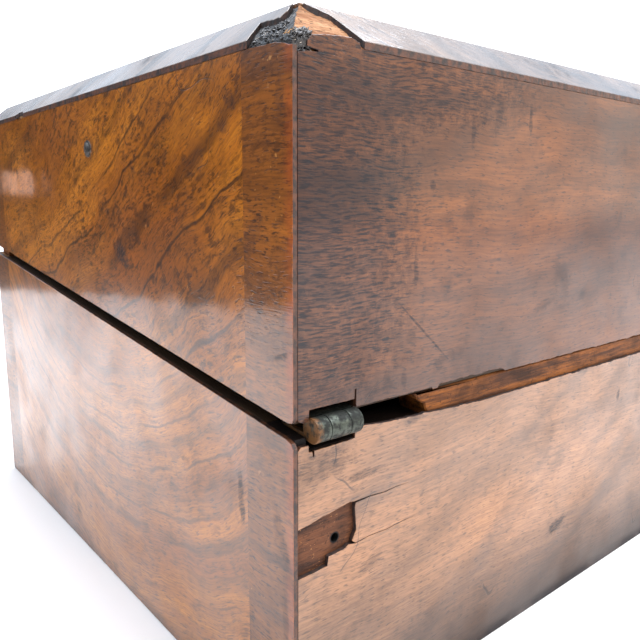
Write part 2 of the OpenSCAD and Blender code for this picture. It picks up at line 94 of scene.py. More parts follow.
def lid_bottom(u):
    """Height in mm of the lid's bottom edge, u mm in front of the back face."""
    return base_top(u) + split_gap


# %% [markdown]
# ## Camera
# The camera stands close to the back right corner, a little above the split, so the two walls run
# away steeply on both sides. Its place is given in side heights from that corner, because then the
# view stays the same if the box is made larger or smaller.

# %% Camera
scene = bpy.context.scene
camera = bpy.data.objects.new("camera", bpy.data.cameras.new("camera"))
scene.collection.objects.link(camera)
camera.location = (half_w + 0.4986 * side_h * MM, back_y + 0.6553 * side_h * MM,
                   0.7997 * side_h * MM)
yaw, pitch, roll = math.radians(50.34), math.radians(10.26), math.radians(0.26)
forward = Vector((-math.cos(yaw) * math.cos(pitch), -math.sin(yaw) * math.cos(pitch),
                  -math.sin(pitch)))
camera.rotation_mode = "QUATERNION"
camera.rotation_quaternion = (forward.to_track_quat("-Z", "Y")
                              @ Matrix.Rotation(roll, 3, "Z").to_quaternion())
camera.data.sensor_width = 36
camera.data.lens = 37.27
camera.data.clip_start = 0.01
scene.camera = camera
print("camera at", [round(v, 3) for v in camera.location])

# %% [markdown]
# ## Colours and nodes
# Finishes are written as sRGB hex, the way a paint chart gives them, and one function turns them
# into the linear values that Blender mixes light with. One more function adds a node, sets it up
# and wires it, so that a material reads as a list of layers.

# %% Colour and node helpers
# The choice that most changes what a node does is written after its name, as in "Math ADD"
CHOICES = {"Math": "operation", "VectorMath": "operation", "MapRange": "interpolation_type",
           "Mix": "blend_type"}
# A soft step takes a value, where it starts and ends, and what it gives before and after, which is
# 0 and 1 unless said. A mix takes a share and two colours
STEP, MIX = "MapRange SMOOTHSTEP", "Mix MIX"
PLUS, LESS, TIMES = "Math ADD", "Math SUBTRACT", "Math MULTIPLY"


def linear(hex_colour):
    """sRGB hex to a linear RGBA colour."""
    channels = [int(hex_colour[i:i + 2], 16) / 255 for i in (1, 3, 5)]
    return tuple(c / 12.92 if c <= 0.04045 else ((c + 0.055) / 1.055) ** 2.4
                 for c in channels) + (1.0,)


def put(tree, kind, *values, settings=None, out=0, **named):
    """Adds one node and returns one of its live outputs, the first unless out says another.

    values fill the live inputs in order, named ones go in by name, and a socket gets linked.
    """
    kind, _, choice = kind.partition(" ")
    made = tree.nodes.new("ShaderNode" + kind)
    if kind == "Mix":
        made.data_type = "RGBA"
    if choice:
        setattr(made, CHOICES[kind], choice)
    for key, value in (settings or {}).items():
        setattr(made, key, value)
    wanted = list(zip([socket for socket in made.inputs if socket.enabled], values))
    wanted += [(made.inputs[key.replace("_", " ")], value) for key, value in named.items()]
    for socket, value in wanted:
        if isinstance(value, bpy.types.NodeSocket):
            tree.links.new(value, socket)
        else:
            socket.default_value = value
    live = [socket for socket in made.outputs if socket.enabled]
    return made.outputs[out] if isinstance(out, str) else live[out] if live else made


class Painter:
    """A material being built: its tree, its coordinates in metres, and patterns sized in mm."""

    def __init__(self, name):
        self.material = bpy.data.materials.new(name)
        self.material.use_nodes = True
        self.tree = self.material.node_tree
        self.tree.nodes.clear()
        self.place = self.add("TexCoord", out="Object")
        parts = self.add("SeparateXYZ", self.place).node
        self.axis = {name: parts.outputs[name] for name in "XYZ"}

    def add(self, kind, *values, **named):
        return put(self.tree, kind, *values, **named)

    def speckle(self, blob, detail=2.0, rough=0.55):
        """A blotchy field. blob is its size in mm, its three sizes, or coordinates of its own."""
        if not isinstance(blob, bpy.types.NodeSocket):
            sizes = [blob] * 3 if isinstance(blob, (int, float)) else blob
            blob = self.add("VectorMath MULTIPLY", self.place,
                            Vector([1 / (size * MM) for size in sizes]))
        return self.add("TexNoise", blob, Scale=1.0, Detail=detail, Roughness=rough)

    def finish(self, **sockets):
        """Closes the material with a principled shader and returns it."""
        self.add("OutputMaterial", self.add("BsdfPrincipled", **sockets))
        print("material", self.material.name)
        return self.material


# %% [markdown]
# ## Light and floor
# Polished wood shows what stands round it, so the surroundings matter as much as the lamps. The box
# stands on a white table in strong daylight from above. The table ends half a metre to the right,
# and past it the room is dark: the side's upper half mirrors the dark room and keeps its deep
# colour, while its lower half mirrors the table and looks washed. Low light from the left rear
# gives the back wall its sheen, and the sky lights the bevels.

# %% Table
floor_mesh = bpy.data.meshes.new("table")
reach = 4.0
# The table's right edge runs at a slant, at this distance from the box's middle
edge_normal, edge_at = Vector((0.863, -0.505)), 0.606
edge_along = Vector((-edge_normal.y, edge_normal.x))
edge_low = edge_normal * edge_at - edge_along * reach
edge_high = edge_normal * edge_at + edge_along * reach
floor_mesh.from_pydata([(-reach, -reach, 0), (edge_low.x, edge_low.y, 0),
                        (edge_high.x, edge_high.y, 0), (-reach, reach, 0)], [], [(0, 1, 2, 3)])
floor = bpy.data.objects.new("table", floor_mesh)
floor.location.z = -0.05 * MM
scene.collection.objects.link(floor)
table = Painter("white_table")
floor_mesh.materials.append(table.finish(Base_Color=linear("#f5efe9"), Roughness=0.6))

# %% Surroundings
world = bpy.data.worlds.new("studio")
scene.world = world
world.use_nodes = True
tree = world.node_tree
tree.nodes.clear()
where = put(tree, "TexCoord", out="Generated")
height = put(tree, "SeparateXYZ", where, out="Z")
# Facing is 1 towards the light side of the room, left and behind the box
facing = put(tree, "VectorMath DOT_PRODUCT", where, Vector((-0.95, 0.31, 0.0)))
light_side = put(tree, STEP, facing, 0.71, 0.96)
low = put(tree, MIX, light_side, linear("#15100c"), linear("#fff4ea"))
upward = put(tree, STEP, height, 0.16, 0.38)
sky = put(tree, MIX, upward, low, linear("#d6e2f2"))
strength = put(tree, "MapRange LINEAR", upward, 0.0, 1.0, 2.3, 2.0)
seen = put(tree, "LightPath", out="Is Camera Ray")
shown = put(tree, MIX, seen, sky, (1.0, 1.0, 1.0, 1.0))
put(tree, "OutputWorld", put(tree, "Background", shown, strength))


# %% Lamps
def panel(name, place, aim, size, watts, colour):
    """A soft square lamp at place, turned towards aim."""
    lamp = bpy.data.lights.new(name, "AREA")
    lamp.shape = "SQUARE"
    lamp.size = size
    lamp.energy = watts
    lamp.color = linear(colour)[:3]
    holder = bpy.data.objects.new(name, lamp)
    holder.location = place
    holder.rotation_mode = "QUATERNION"
    holder.rotation_quaternion = (Vector(aim) - Vector(place)).to_track_quat("-Z", "Y")
    scene.collection.objects.link(holder)
    return holder


middle = (0, 0, side_h * MM / 2)
panel("overhead", (-0.35, 0.15, 1.5), middle, 1.3, 54, "#f8f9ff")
panel("window_glint", (0.371, -0.90, 0.135), middle, 0.035, 0.010, "#ffd0bc")
panel("rear_fill", (-0.6, 1.2, 0.8), middle, 0.6, 6, "#fff1e4")
scene.view_settings.view_transform = "Standard"

# %% [markdown]
# ## Walnut veneer
# Saw-cut walnut is sliced from a curved crotch or a butt, so its dark lines are pieces of growth
# rings. Each face gets its own heart, the point that its rings run round. Distance from the heart,
# bent a little by noise, is the ring field. Streaks are dark stretches of it, and fibres and flecks
# are noise that is fine across the rings and long along them. Over that come broad bands of figure,
# stains, marks at stated places, scratches, and old polish that is thick in some places and rubbed
# dull in others.

# %% Walnut
def walnut(name, plane, heart, light, mid, dark, ring_mm=14, wobble_mm=9, lines=(), streak=0.5,
           flecks=0.7, fleck_mm=(0.7, 4.5), fleck_reach=None, mottle=0.2, figure=(0, 18, 70, 0.3),
           stain=0.3, marks=(), rough=0.25, coat=0.5, gold=0.0, low_edge_darkening=0.5, low_shade=0.0,
           corner_glow=0.0):
    """Walnut on an upright or flat face.

    plane names the two axes that cross the face. The first is measured from the near corner and
    the second is the height, or the depth on the top; heart is the rings' middle in those, in mm.
    lines are rings that stand out: (radius, half width, strength). figure is a set of broad bands:
    (tilt in degrees, width, length, strength). marks are stains or dents: (along, height, half
    length, half height, tilt, strength). fleck_reach is where the flecks begin and end thinning
    out along the wall, and low_shade darkens the lowest 34 mm.
    """
    p = Painter(name)
    corner = {"X": half_w, "Y": back_y}[plane[0]]
    along_wall = p.add(TIMES, p.add(LESS, corner, p.axis[plane[0]]), 1 / MM)
    height = p.add(TIMES, p.axis[plane[1]], 1 / MM)
    across, upward = p.add(LESS, along_wall, heart[0]), p.add(LESS, height, heart[1])
    bend = p.add(TIMES, p.add(LESS, p.speckle(48), 0.5), 2 * wobble_mm)
    ripple = p.add(TIMES, p.add(LESS, p.speckle(9), 0.5), wobble_mm / 3)
    squares = p.add(PLUS, p.add(TIMES, across, across), p.add(TIMES, upward, upward))
    ring = p.add(PLUS, p.add(PLUS, p.add("Math SQRT", squares), bend), ripple)
    mean_radius = max(60, math.hypot(heart[0] - 90, heart[1] - side_h / 2))
    around = p.add(TIMES, p.add("Math ARCTAN2", upward, across), mean_radius)

    def fibres(across_mm, along_mm, detail, rough_share=0.55):
        grain = p.add("CombineXYZ", p.add(TIMES, ring, 1 / across_mm),
                      p.add(TIMES, around, 1 / along_mm))
        return p.speckle(grain, detail, rough_share)

    # Streaks that the ring noise gives, and those at stated rings, fade in and out on their way
    ring_noise = p.add("TexNoise", settings={"noise_dimensions": "1D"}, Scale=1.0, Detail=3.0,
                       W=p.add(TIMES, ring, 1 / ring_mm), Roughness=0.6)
    streaks = p.add(TIMES, p.add(STEP, ring_noise, 0.52, 0.70, 0, streak),
                    p.add(STEP, p.speckle(30, 3), 0.34, 0.60))
    for at, half, strong in lines:
        off = p.add("Math ABSOLUTE", p.add(LESS, ring, at))
        line = p.add(TIMES, p.add(STEP, off, 0.15 * half, half, strong, 0),
                     p.add(STEP, p.speckle(17 + half, 3), 0.30, 0.52))
        streaks = p.add("Math MAXIMUM", streaks, line)
    clouds = p.add(STEP, fibres(26, 90, 3), 0.32, 0.68)
    fine = p.add(STEP, fibres(0.45, 11, 3), 0.32, 0.70)
    dense = p.add(STEP, p.speckle(13, 3), 0.35, 0.65, 0.25 * flecks, flecks)
    short = fibres(*fleck_mm, 2.5, 0.6)
    fleck = p.add(TIMES, p.add(STEP, short, 0.535, 0.66), dense)
    if fleck_reach:
        fleck = p.add(TIMES, fleck, p.add(STEP, along_wall, *fleck_reach, 1, 0.2))
    pores = p.add(STEP, fibres(0.4, 2.6, 1), 0.60, 0.68)
    # Mottle is where the fibres dive in and out of the surface: short dark and light patches
    patches = p.add(TIMES, p.add(STEP, fibres(1.5, 3.6, 4, 0.68), 0.46, 0.62),
                    p.add(STEP, p.speckle(8, 3), 0.3, 0.62, 0, mottle))

    # Bands of figure lie at their own angle
    tilt, band_mm, run_mm, figure_share = figure
    turn = math.radians(tilt)
    run = p.add(PLUS, p.add(TIMES, along_wall, math.cos(turn) / run_mm),
                p.add(TIMES, height, math.sin(turn) / run_mm))
    over = p.add(PLUS, p.add(TIMES, along_wall, -math.sin(turn) / band_mm),
                 p.add(TIMES, height, math.cos(turn) / band_mm))
    bands = p.add(STEP, p.speckle(p.add("CombineXYZ", run, over), 3, 0.5), 0.42, 0.68, 0,
                  figure_share)

    colour = p.add(MIX, clouds, linear(mid), linear(light))
    colour = p.add(MIX, p.add(STEP, fibres(3.2, 30, 3), 0.35, 0.68, 0, 0.45), colour, linear(mid))
    for share in (bands, p.add(TIMES, fine, 0.38), streaks, patches, fleck,
                  p.add(TIMES, pores, 0.55)):
        colour = p.add(MIX, share, colour, linear(dark))
    if gold:
        # Short bright nicks where the polish was cut and shows pale wood
        nicks = p.add(TIMES, p.add(STEP, p.speckle(1.3, 1.5), 0.70, 0.745, 0, gold),
                      p.add(STEP, p.speckle(14), 0.5, 0.62))
        colour = p.add(MIX, nicks, colour, linear("#c08a4e"))
    if corner_glow:
        glow_share = p.add(TIMES, p.add(STEP, along_wall, 0.2, 3.4, corner_glow, 0),
                           p.add(STEP, p.speckle(5, 3), 0.30, 0.60))
        colour = p.add(MIX, glow_share, colour, linear("#9c4518"))
    # Blue-black stain, where iron and water met the wood, in patches and at stated marks
    soiled = p.add(STEP, p.speckle(15, 5, 0.68), 0.54, 0.72, 0, stain)
    fray = p.add(TIMES, p.add(LESS, p.speckle(2.6, 5, 0.75), 0.5), 4.2)
    patchy = p.add(STEP, short, 0.42, 0.60, 0.5, 1)
    for at_a, at_z, half_a, half_z, mark_tilt, strong in marks:
        # The stain's own axes are turned and scaled so that its rim lies at a distance of 1
        c, n = math.cos(math.radians(mark_tilt)), math.sin(math.radians(mark_tilt))
        da, dz = p.add(LESS, along_wall, at_a), p.add(LESS, height, at_z)
        away = fray
        for turn_a, turn_z in ((c / half_a, n / half_a), (-n / half_z, c / half_z)):
            way = p.add(PLUS, p.add(TIMES, da, turn_a), p.add(TIMES, dz, turn_z))
            away = p.add("Math MULTIPLY_ADD", way, way, away)
        shape = p.add(TIMES, p.add(STEP, away, 0.1, 1.3, strong, 0), patchy)
        soiled = p.add("Math MAXIMUM", soiled, shape)
    # The lowest 4.5 mm are darkened in patches, and this joins the stains.
    low_band = p.add(TIMES, p.add(STEP, height, 0.3, 4.5, low_edge_darkening, 0),
                     p.add(STEP, p.speckle(9, 3), 0.2, 0.6))
    soiled = p.add("Math MAXIMUM", soiled, low_band)
    if low_shade:
        shade = p.add(STEP, height, 0.0, 34.0, low_shade, 0)
        colour = p.add(MIX, shade, colour, linear(dark))
    colour = p.add(MIX, soiled, colour, linear("#131116"))
    scratches = p.add("Math ABSOLUTE", p.add(LESS, p.speckle(55, 3, 0.5), 0.5))
    scratches = p.add(TIMES, p.add(STEP, scratches, 0.0006, 0.0018, 1, 0),
                      p.add(STEP, p.speckle(19), 0.58, 0.64))
    colour = p.add(MIX, p.add(TIMES, scratches, 0.6), colour, linear("#120d0b"))

    # Old polish: a clear coat over open wood, thinner where it is rubbed, broken where it is soiled
    rub = p.add(STEP, p.speckle(24, 3), 0.35, 0.72)
    polish = p.add("Math MULTIPLY_ADD", rub, -0.25 * coat, coat)
    polish = p.add("Math MULTIPLY_ADD", soiled, -0.55 * coat, polish)
    if low_shade:
        polish = p.add("Math MULTIPLY_ADD", shade, -0.5 * coat, polish)
    swell = p.add("Bump", Height=p.speckle(17, 1), Distance=0.18 * MM)
    relief = p.add(TIMES, fine, 0.30)
    for layer, depth_share in ((pores, -0.8), (scratches, -1.5), (soiled, -0.8)):
        relief = p.add("Math MULTIPLY_ADD", layer, depth_share, relief)
    return p.finish(Base_Color=colour, Specular_IOR_Level=0.2,
                    Roughness=p.add("Math MULTIPLY_ADD", rub, 0.12, rough),
                    Normal=p.add("Bump", Height=relief, Distance=0.02 * MM, Normal=swell),
                    Coat_Weight=polish, Coat_Roughness=0.09, Coat_IOR=1.75,
                    Coat_Normal=p.add("Bump", Height=relief, Distance=0.006 * MM, Normal=swell))


# %% [markdown]
# The side walls are cut from one warm sheet whose streaks climb towards the near corner. The base's
# rings close round a point near the split. The back is plainer and browner, with short dark flecks
# lying along the wall, and it has the worst of the stains. Crossbanding is cut with its fibres
# lying across the band, so its rings' heart is far above.

# %% Veneers
SIDE = {"light": "#c2751a", "mid": "#8f4d0b", "dark": "#1c0d05"}
LID_BACK = {"light": "#844c22", "mid": "#502d17", "dark": "#150d0e"}
BASE_BACK = {"light": "#b07a50", "mid": "#8a603f", "dark": "#2e2019"}
BAND = {"light": "#9c5a1a", "mid": "#744010", "dark": "#1b0d06"}
TOP = {"light": "#8f5a2c", "mid": "#613a18", "dark": "#1c0f08"}
BEVEL = {"light": "#86694f", "mid": "#5c4431", "dark": "#1e1612"}
side_lid_walnut = walnut(
    "side_lid_walnut", "YZ", (287, 525), **SIDE, ring_mm=17, wobble_mm=9,
    lines=((476, 3.0, 0.5), (502, 3.0, 0.5), (523, 2.4, 0.4), (447, 2.4, 0.35), (489, 0.7, 0.75),
           (511, 0.8, 0.7), (462, 0.7, 0.7), (535, 0.8, 0.6), (455, 0.6, 0.6)), streak=0.3,
    flecks=0.6, fleck_mm=(0.5, 1.5), mottle=0.7, figure=(30, 20, 60, 0.2), stain=0.3, rough=0.40,
    coat=0.72, gold=0.4,
    marks=((91.8, 125.4, 3.6, 3.2, 0, 0.5), (73, 98, 6, 2.6, 32, 0.85), (20, 131, 3, 1.6, 40, 0.6),
           (13.5, 84, 5, 1.4, -12, 0.75), (22, 126, 2.2, 1.5, 0, 0.6), (64, 119, 2.0, 1.4, 60, 0.7),
           (86, 126, 1.2, 2.6, 12, 0.5), (47, 121, 1.4, 2.4, 10, 0.6)))
side_base_walnut = walnut(
    "side_base_walnut", "YZ", (90, 153), **SIDE, ring_mm=9, wobble_mm=6,
    lines=((88, 2.0, 0.4), (97, 1.8, 0.4), (108, 2.0, 0.45), (119, 1.8, 0.4), (131, 2.4, 0.5),
           (92, 0.6, 0.5), (103, 0.6, 0.55), (114, 0.7, 0.55), (125, 0.7, 0.5)),
    streak=0.25, flecks=0.5, fleck_mm=(0.5, 1.8), mottle=0.4, figure=(-30, 22, 90, 0.25), stain=0.3,
    rough=0.39, coat=0.9,
    marks=((18, 52, 1.3, 7, -4, 0.85), (22, 58, 2, 1, 30, 0.5), (6.5, 56, 1.6, 5.5, 12, 0.6),
           (117, 10, 2.6, 1.2, 20, 0.7), (42, 52, 2.6, 1.0, 10, 0.5)))
back_lid_walnut = walnut(
    "back_lid_walnut", "XZ", (60, 3300), **LID_BACK, ring_mm=15, wobble_mm=3, streak=0.4,
    flecks=1.0, fleck_mm=(0.42, 3.6), fleck_reach=(28, 62), figure=(24, 17, 95, 0.28), stain=0.5,
    rough=0.50, coat=0.4,
    marks=((22.3, 129, 1.3, 9, 2, 0.85), (13.1, 91, 1.6, 12, 3, 0.75), (11, 112, 10, 3.2, 0, 0.55),
           (6, 103, 7, 2.0, 4, 0.5), (2, 108, 30, 50, 0, 0.85), (26, 134, 46, 9, 3, 0.8),
           (48.6, 127, 0.9, 4, 0, 0.7), (69.5, 131, 0.8, 4.5, 4, 0.75),
           (31.7, 98.5, 0.8, 4.6, 3, 0.75), (57.5, 131, 1.6, 5.5, -14, 0.75),
           (34.2, 85.2, 12.6, 0.32, -41, 0.9), (52, 131, 8.5, 0.30, 28, 0.7),
           (36, 115, 1.0, 1.2, 0, 0.8), (31, 84.5, 2.2, 1.4, 40, 0.65), (24, 76, 1.5, 2.2, 0, 0.6),
           (29, 75.5, 1.0, 2.0, 0, 0.6), (40, 76.8, 2.6, 1.7, 30, 0.6), (9, 78, 6, 3.0, 8, 0.5),
           (98, 87, 3.0, 1.6, 35, 0.5), (3, 128, 3.2, 14, 0, 0.5), (80, 86, 5, 1.3, 18, 0.5),
           (116, 107, 1.0, 3.5, -14, 0.45)))
back_base_walnut = walnut(
    "back_base_walnut", "XZ", (60, -2600), **BASE_BACK, ring_mm=15, wobble_mm=3.5, streak=0.3,
    flecks=0.4, fleck_mm=(0.45, 2.6), figure=(28, 13, 110, 0.45), stain=0.3, rough=0.48, coat=0.6,
    low_edge_darkening=0.9, low_shade=0.95, fleck_reach=(40, 90),
    marks=((93.7, 21.4, 5.2, 2.0, 14, 0.95), (124.2, 54, 1.0, 2.0, -12, 0.85),
           (18, 57.4, 6.0, 1.0, 0, 0.7), (7, 62, 9, 3.4, 3, 0.6), (21, 37, 4.0, 1.6, 20, 0.5),
           (33, 66, 3.0, 1.2, 8, 0.6), (104, 66, 5, 1.6, 8, 0.45)))
front_walnut = walnut("front_walnut", "XZ", (140, 520), **SIDE, ring_mm=15, streak=0.7,
                      flecks=0.6, figure=(20, 20, 80, 0.25), stain=0.2, rough=0.41, coat=0.8)
top_walnut = walnut("top_walnut", "XY", (160, -260), **TOP, ring_mm=18, wobble_mm=12,
                    streak=0.7, flecks=0.6, figure=(60, 20, 90, 0.35), stain=0.3, rough=0.46,
                    coat=0.7, low_edge_darkening=0.0)
bevel_walnut = walnut("bevel_walnut", "XY", (160, -260), **BEVEL, ring_mm=8, wobble_mm=6,
                      streak=0.8, flecks=0.9, figure=(50, 9, 60, 0.6), stain=0.8, rough=0.42,
                      coat=0.8, low_edge_darkening=0.0)
side_band_walnut = walnut("side_band_walnut", "YZ", (0, 3400), **BAND, ring_mm=6, wobble_mm=4,
                          streak=0.5, flecks=0.85, mottle=0.45, fleck_mm=(0.6, 3.0), stain=0.35,
                          rough=0.41,
                          coat=0.8, gold=0.45, corner_glow=0.5,
                          marks=((3.5, 129, 1.5, 5, 0, 0.5), (13, 105, 2.5, 6, 35, 0.55),
                                 (9, 94, 6, 1.4, -14, 0.5), (4, 83.5, 3.2, 0.7, -20, 0.8),
                                 (4, 48, 2.0, 7, -20, 0.6), (2.5, 30, 1.0, 8, 0, 0.5)))
front_band_walnut = walnut("front_band_walnut", "XZ", (0, 3400), **BAND, ring_mm=6, wobble_mm=4,
                           streak=0.5, flecks=0.8, fleck_mm=(0.6, 3.4), stain=0.25, rough=0.42,
                           coat=0.7, gold=0.3)

# %% [markdown]
# ## Solid woods
# The carcase is pine, the fittings are mahogany, and the lipping is a brown hardwood. Their fibres
# run straight along the board, so noise stretched along one axis is enough: broad rings, then
# fibres. Freshly torn pine is pale and open. Where a board was inked, soaked with glue or has met
# two centuries of hands, it is darker, so dirt is a layer of its own.
# Where the boards show in the gap under the lid, and in the hollow by the hinge, they get a painted
# shade of near black.

# %% Solid woods
def board_wood(name, run, light, dark, ring_mm=4.0, fibre_mm=0.35, dirt=0.3, rough=0.6, coat=0.0,
               pits=0.0, pale_specks=0.0, black_shade_above=None, shaded_hole=None, gap_shade_edge=None):
    """Straight-grained wood whose fibres run along the axis named by run.

    Above black_shade_above mm the wood is painted black, a painted shade for the hollow by the
    hinge under the lid. shaded_hole is the X, the height and the radius in mm of a hole, painted
    black as the shade inside it. gap_shade_edge is the height in mm on the back face from which
    the wood along the split is painted near black, a painted shade for the gap under the lid: up
    for 1, down for -1.
    """
    p = Painter(name)

    def along(across_mm, times):
        sizes = [across_mm] * 3
        sizes["XYZ".index(run)] = across_mm * times
        return sizes

    rings = p.add(STEP, p.speckle(along(ring_mm, 14), 3, 0.6), 0.35, 0.65)
    fibre = p.add(STEP, p.speckle(along(fibre_mm, 18), 3, 0.6), 0.32, 0.70)
    pores = p.add(STEP, p.speckle(along(0.3, 7), 1.5), 0.60, 0.68)
    soil = p.add(STEP, p.speckle(7, 4, 0.65), 0.46, 0.70, 0, dirt)
    colour = p.add(MIX, rings, linear(light), linear(dark))
    colour = p.add(MIX, p.add(TIMES, fibre, 0.45), colour, linear(dark))
    colour = p.add(MIX, p.add(TIMES, pores, 0.5), colour, linear("#1a100a"))
    colour = p.add(MIX, soil, colour, linear("#140e0a"))
    if pits:
        pit = p.add(STEP, p.speckle(1.1), 0.64, 0.70, 0, pits)
        colour = p.add(MIX, pit, colour, linear("#0d0806"))
    if pale_specks:
        speck = p.add(TIMES, p.add(STEP, p.speckle(along(0.35, 2.2)), 0.62, 0.70, 0, pale_specks),
                      p.add(STEP, p.speckle(4), 0.48, 0.62))
        colour = p.add(MIX, speck, colour, linear("#b97f4e"))
    # The wood above this height is painted black: a painted shade for the hollow by the hinge, under
    # the lid.
    if black_shade_above:
        low_z, high_z = (black_shade_above - 1) * MM, (black_shade_above + 1) * MM
        hollow_shade = p.add(STEP, p.axis["Z"], low_z, high_z, 0, 0.93)
        colour = p.add(MIX, hollow_shade, colour, linear("#080605"))
    # From this height the wood along the split is painted near black: a painted shade for the gap
    # under the lid.
    if gap_shade_edge:
        start, way = gap_shade_edge
        drop = p.add(TIMES, p.add(LESS, back_y, p.axis["Y"]), split_slope)
        level = p.add(LESS, p.add(LESS, p.axis["Z"], drop), start * MM)
        gap_shade_share = p.add(STEP, p.add(TIMES, level, way), -0.5 * MM, 0.5 * MM, 0, 0.9)
        colour = p.add(MIX, gap_shade_share, colour, linear("#0d0806"))
    # A hole painted black: a painted shade for the dark inside of the hole.
    if shaded_hole:
        hole_x, hole_z, hole_r = (size * MM for size in shaded_hole)
        off = p.add("VectorMath SUBTRACT", p.place, Vector((hole_x, 0, hole_z)))
        off = p.add("VectorMath LENGTH", p.add("VectorMath MULTIPLY", off, Vector((1, 0, 1))))
        black = p.add(STEP, off, hole_r, hole_r + 0.5 * MM, 1, 0)
        colour = p.add(MIX, black, colour, linear("#050403"))
    relief = p.add("Math MULTIPLY_ADD", pores, -0.8, p.add(TIMES, fibre, 0.6))
    return p.finish(Base_Color=colour, Roughness=p.add("Math MULTIPLY_ADD", soil, 0.15, rough),
                    Specular_IOR_Level=0.2, Coat_Weight=coat, Coat_Roughness=0.25,
                    Normal=p.add("Bump", Height=relief, Distance=0.05 * MM))


# %% Woods of the box
PINE = {"light": "#b58a5a", "dark": "#835b33", "dirt": 0.45}
MAHOGANY = {"light": "#7b3a20", "dark": "#4b1f11", "ring_mm": 7, "dirt": 0.2, "rough": 0.34,
            "coat": 0.35}
lid_rim = split_back + split_gap
pine_wide = board_wood("aged_pine_wide", "X", **PINE)
torn_pine = board_wood("torn_pine", "X", "#b0845f", "#7d4f2f", ring_mm=1.2, fibre_mm=0.3,
                       dirt=0.2, rough=0.8, pits=0.7)
# The back board is stained pine, with a painted shade of black in the hollow above 62 mm and in a
# hole.
stained_and_shaded_wide = board_wood("stained_pine_with_painted_shade", "X", "#6b4026", "#2f1a10", ring_mm=1.6,
                          fibre_mm=0.3, dirt=0.5, pits=0.6, pale_specks=0.7, black_shade_above=62,
                          shaded_hole=(half_w / MM - 11.1, 45.4, 1.0))
# These boards show in the gap under the lid, so their edges along the split get a painted shade of
# near black.
lid_back_pine = board_wood("gap_shaded_pine_wide", "X", **PINE, gap_shade_edge=(lid_rim + 2.5, -1))
ledge_pine = board_wood("gap_shaded_pine_deep", "Y", **PINE, gap_shade_edge=(split_back - 4.0, 1))
rim_pine = board_wood("gap_shaded_rim_pine", "Y", **PINE, gap_shade_edge=(lid_rim + 1.5, -1))
lipping_wide = board_wood("lipping_wide", "X", "#8c501c", "#3f210c", ring_mm=1.6, dirt=0.45,
                          rough=0.65, pits=0.5)
# The side lippings are the same brown hardwood, coloured near black as a painted shade for the gap
# under the lid.
shaded_lipping_deep = board_wood("shaded_lipping_deep", "Y", "#2a180c", "#120a05", ring_mm=2.2, dirt=0.5,
                          rough=0.5, coat=0.1)
mahogany_deep = board_wood("mahogany_deep", "Y", **MAHOGANY)
mahogany_wide = board_wood("mahogany_wide", "X", **MAHOGANY)

# %% [markdown]
# The rim of a veneer shows two finishes. Where it was sawn and then handled, it is a smooth dark
# brown. Where it broke away, it is ragged end grain, black with old glue.

# %% Veneer rims and glue
def rim(name, light, dark, rough, size_mm):
    """A narrow edge with fine uneven colour."""
    p = Painter(name)
    uneven = p.add(STEP, p.speckle(size_mm, 4, 0.65), 0.35, 0.65)
    return p.finish(Base_Color=p.add(MIX, uneven, linear(light), linear(dark)), Roughness=rough,
                    Normal=p.add("Bump", Height=p.speckle(size_mm * 0.4), Distance=0.06 * MM))


sawn_rim = rim("sawn_veneer_rim", "#573019", "#1c0f08", 0.5, 1.6)
torn_rim = rim("torn_veneer_rim", "#3a2115", "#120a07", 0.7, 0.9)
old_glue = rim("old_glue", "#2b2622", "#070505", 0.30, 0.6)
chalky_glue = rim("chalky_glue", "#cdbfae", "#6a5c4c", 0.7, 0.5)

# %% [markdown]
# ## Metals, bone and glass
# The hinges' brass has gone grey-green, and its bare end has rusted from the steel pin. Iron is
# nearly black. Tarnish lies in patches: where it is thick the metal is duller, rougher and darker.

# %% Metals
def old_metal(name, bright, tarnish, cover, rough, rust=0.0, rust_from=0.0, grain_mm=1.2):
    """Metal under tarnish. cover is how much of it is tarnished; rust grows near rust_from."""
    p = Painter(name)
    patches = p.add(PLUS, p.add(TIMES, p.speckle(grain_mm, 5, 0.65), 0.7),
                    p.add(TIMES, p.speckle(grain_mm * 5), 0.3))
    share = p.add(STEP, patches, 0.62 - 0.4 * cover, 0.80 - 0.4 * cover)
    colour = p.add(MIX, share, linear(bright), linear(tarnish))
    metallic = p.add("Math MULTIPLY_ADD", share, -0.45, 1.0)
    if rust:
        off = p.add("Math ABSOLUTE", p.add(LESS, p.axis["X"], rust_from))
        near = p.add(TIMES, p.add(STEP, off, 0.2 * MM, 1.5 * MM, rust, 0),
                     p.add(STEP, p.speckle(1.6, 3), 0.32, 0.55))
        colour = p.add(MIX, near, colour, linear("#7a4d20"))
        metallic = p.add("Math MULTIPLY_ADD", near, -0.5, metallic)
    pits = p.add(STEP, p.speckle(0.5, 3), 0.62, 0.72)
    colour = p.add(MIX, p.add(TIMES, pits, 0.5), colour, linear("#14110d"))
    relief = p.add("Math MULTIPLY_ADD", pits, -0.5, p.speckle(2.2))
    return p.finish(Base_Color=colour, Metallic=metallic,
                    Roughness=p.add("Math MULTIPLY_ADD", share, 0.25, rough),
                    Normal=p.add("Bump", Height=relief, Distance=0.10 * MM))


barrel_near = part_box("right_hinge_base_leaf")[1].x
hinge_brass = old_metal("tarnished_hinge_brass", "#4e534b", "#1d1f1a", 0.66, 0.36, 0.75,
                        barrel_near)
plate_brass = old_metal("dull_brass", "#a58a52", "#4d4229", 0.5, 0.34)
black_iron = old_metal("black_iron", "#5c5650", "#241d18", 0.7, 0.42)
nail_iron = old_metal("worn_nail_iron", "#8f8983", "#3b3733", 0.45, 0.30, grain_mm=0.8)

# %% [markdown]
# Bone has fine lines along it, and a soft look because light enters it. The tea wells are lined
# with dull tin foil that was rubbed down by hand, so it is full of small creases. The bowl is
# clear flint glass, smeared by handling.

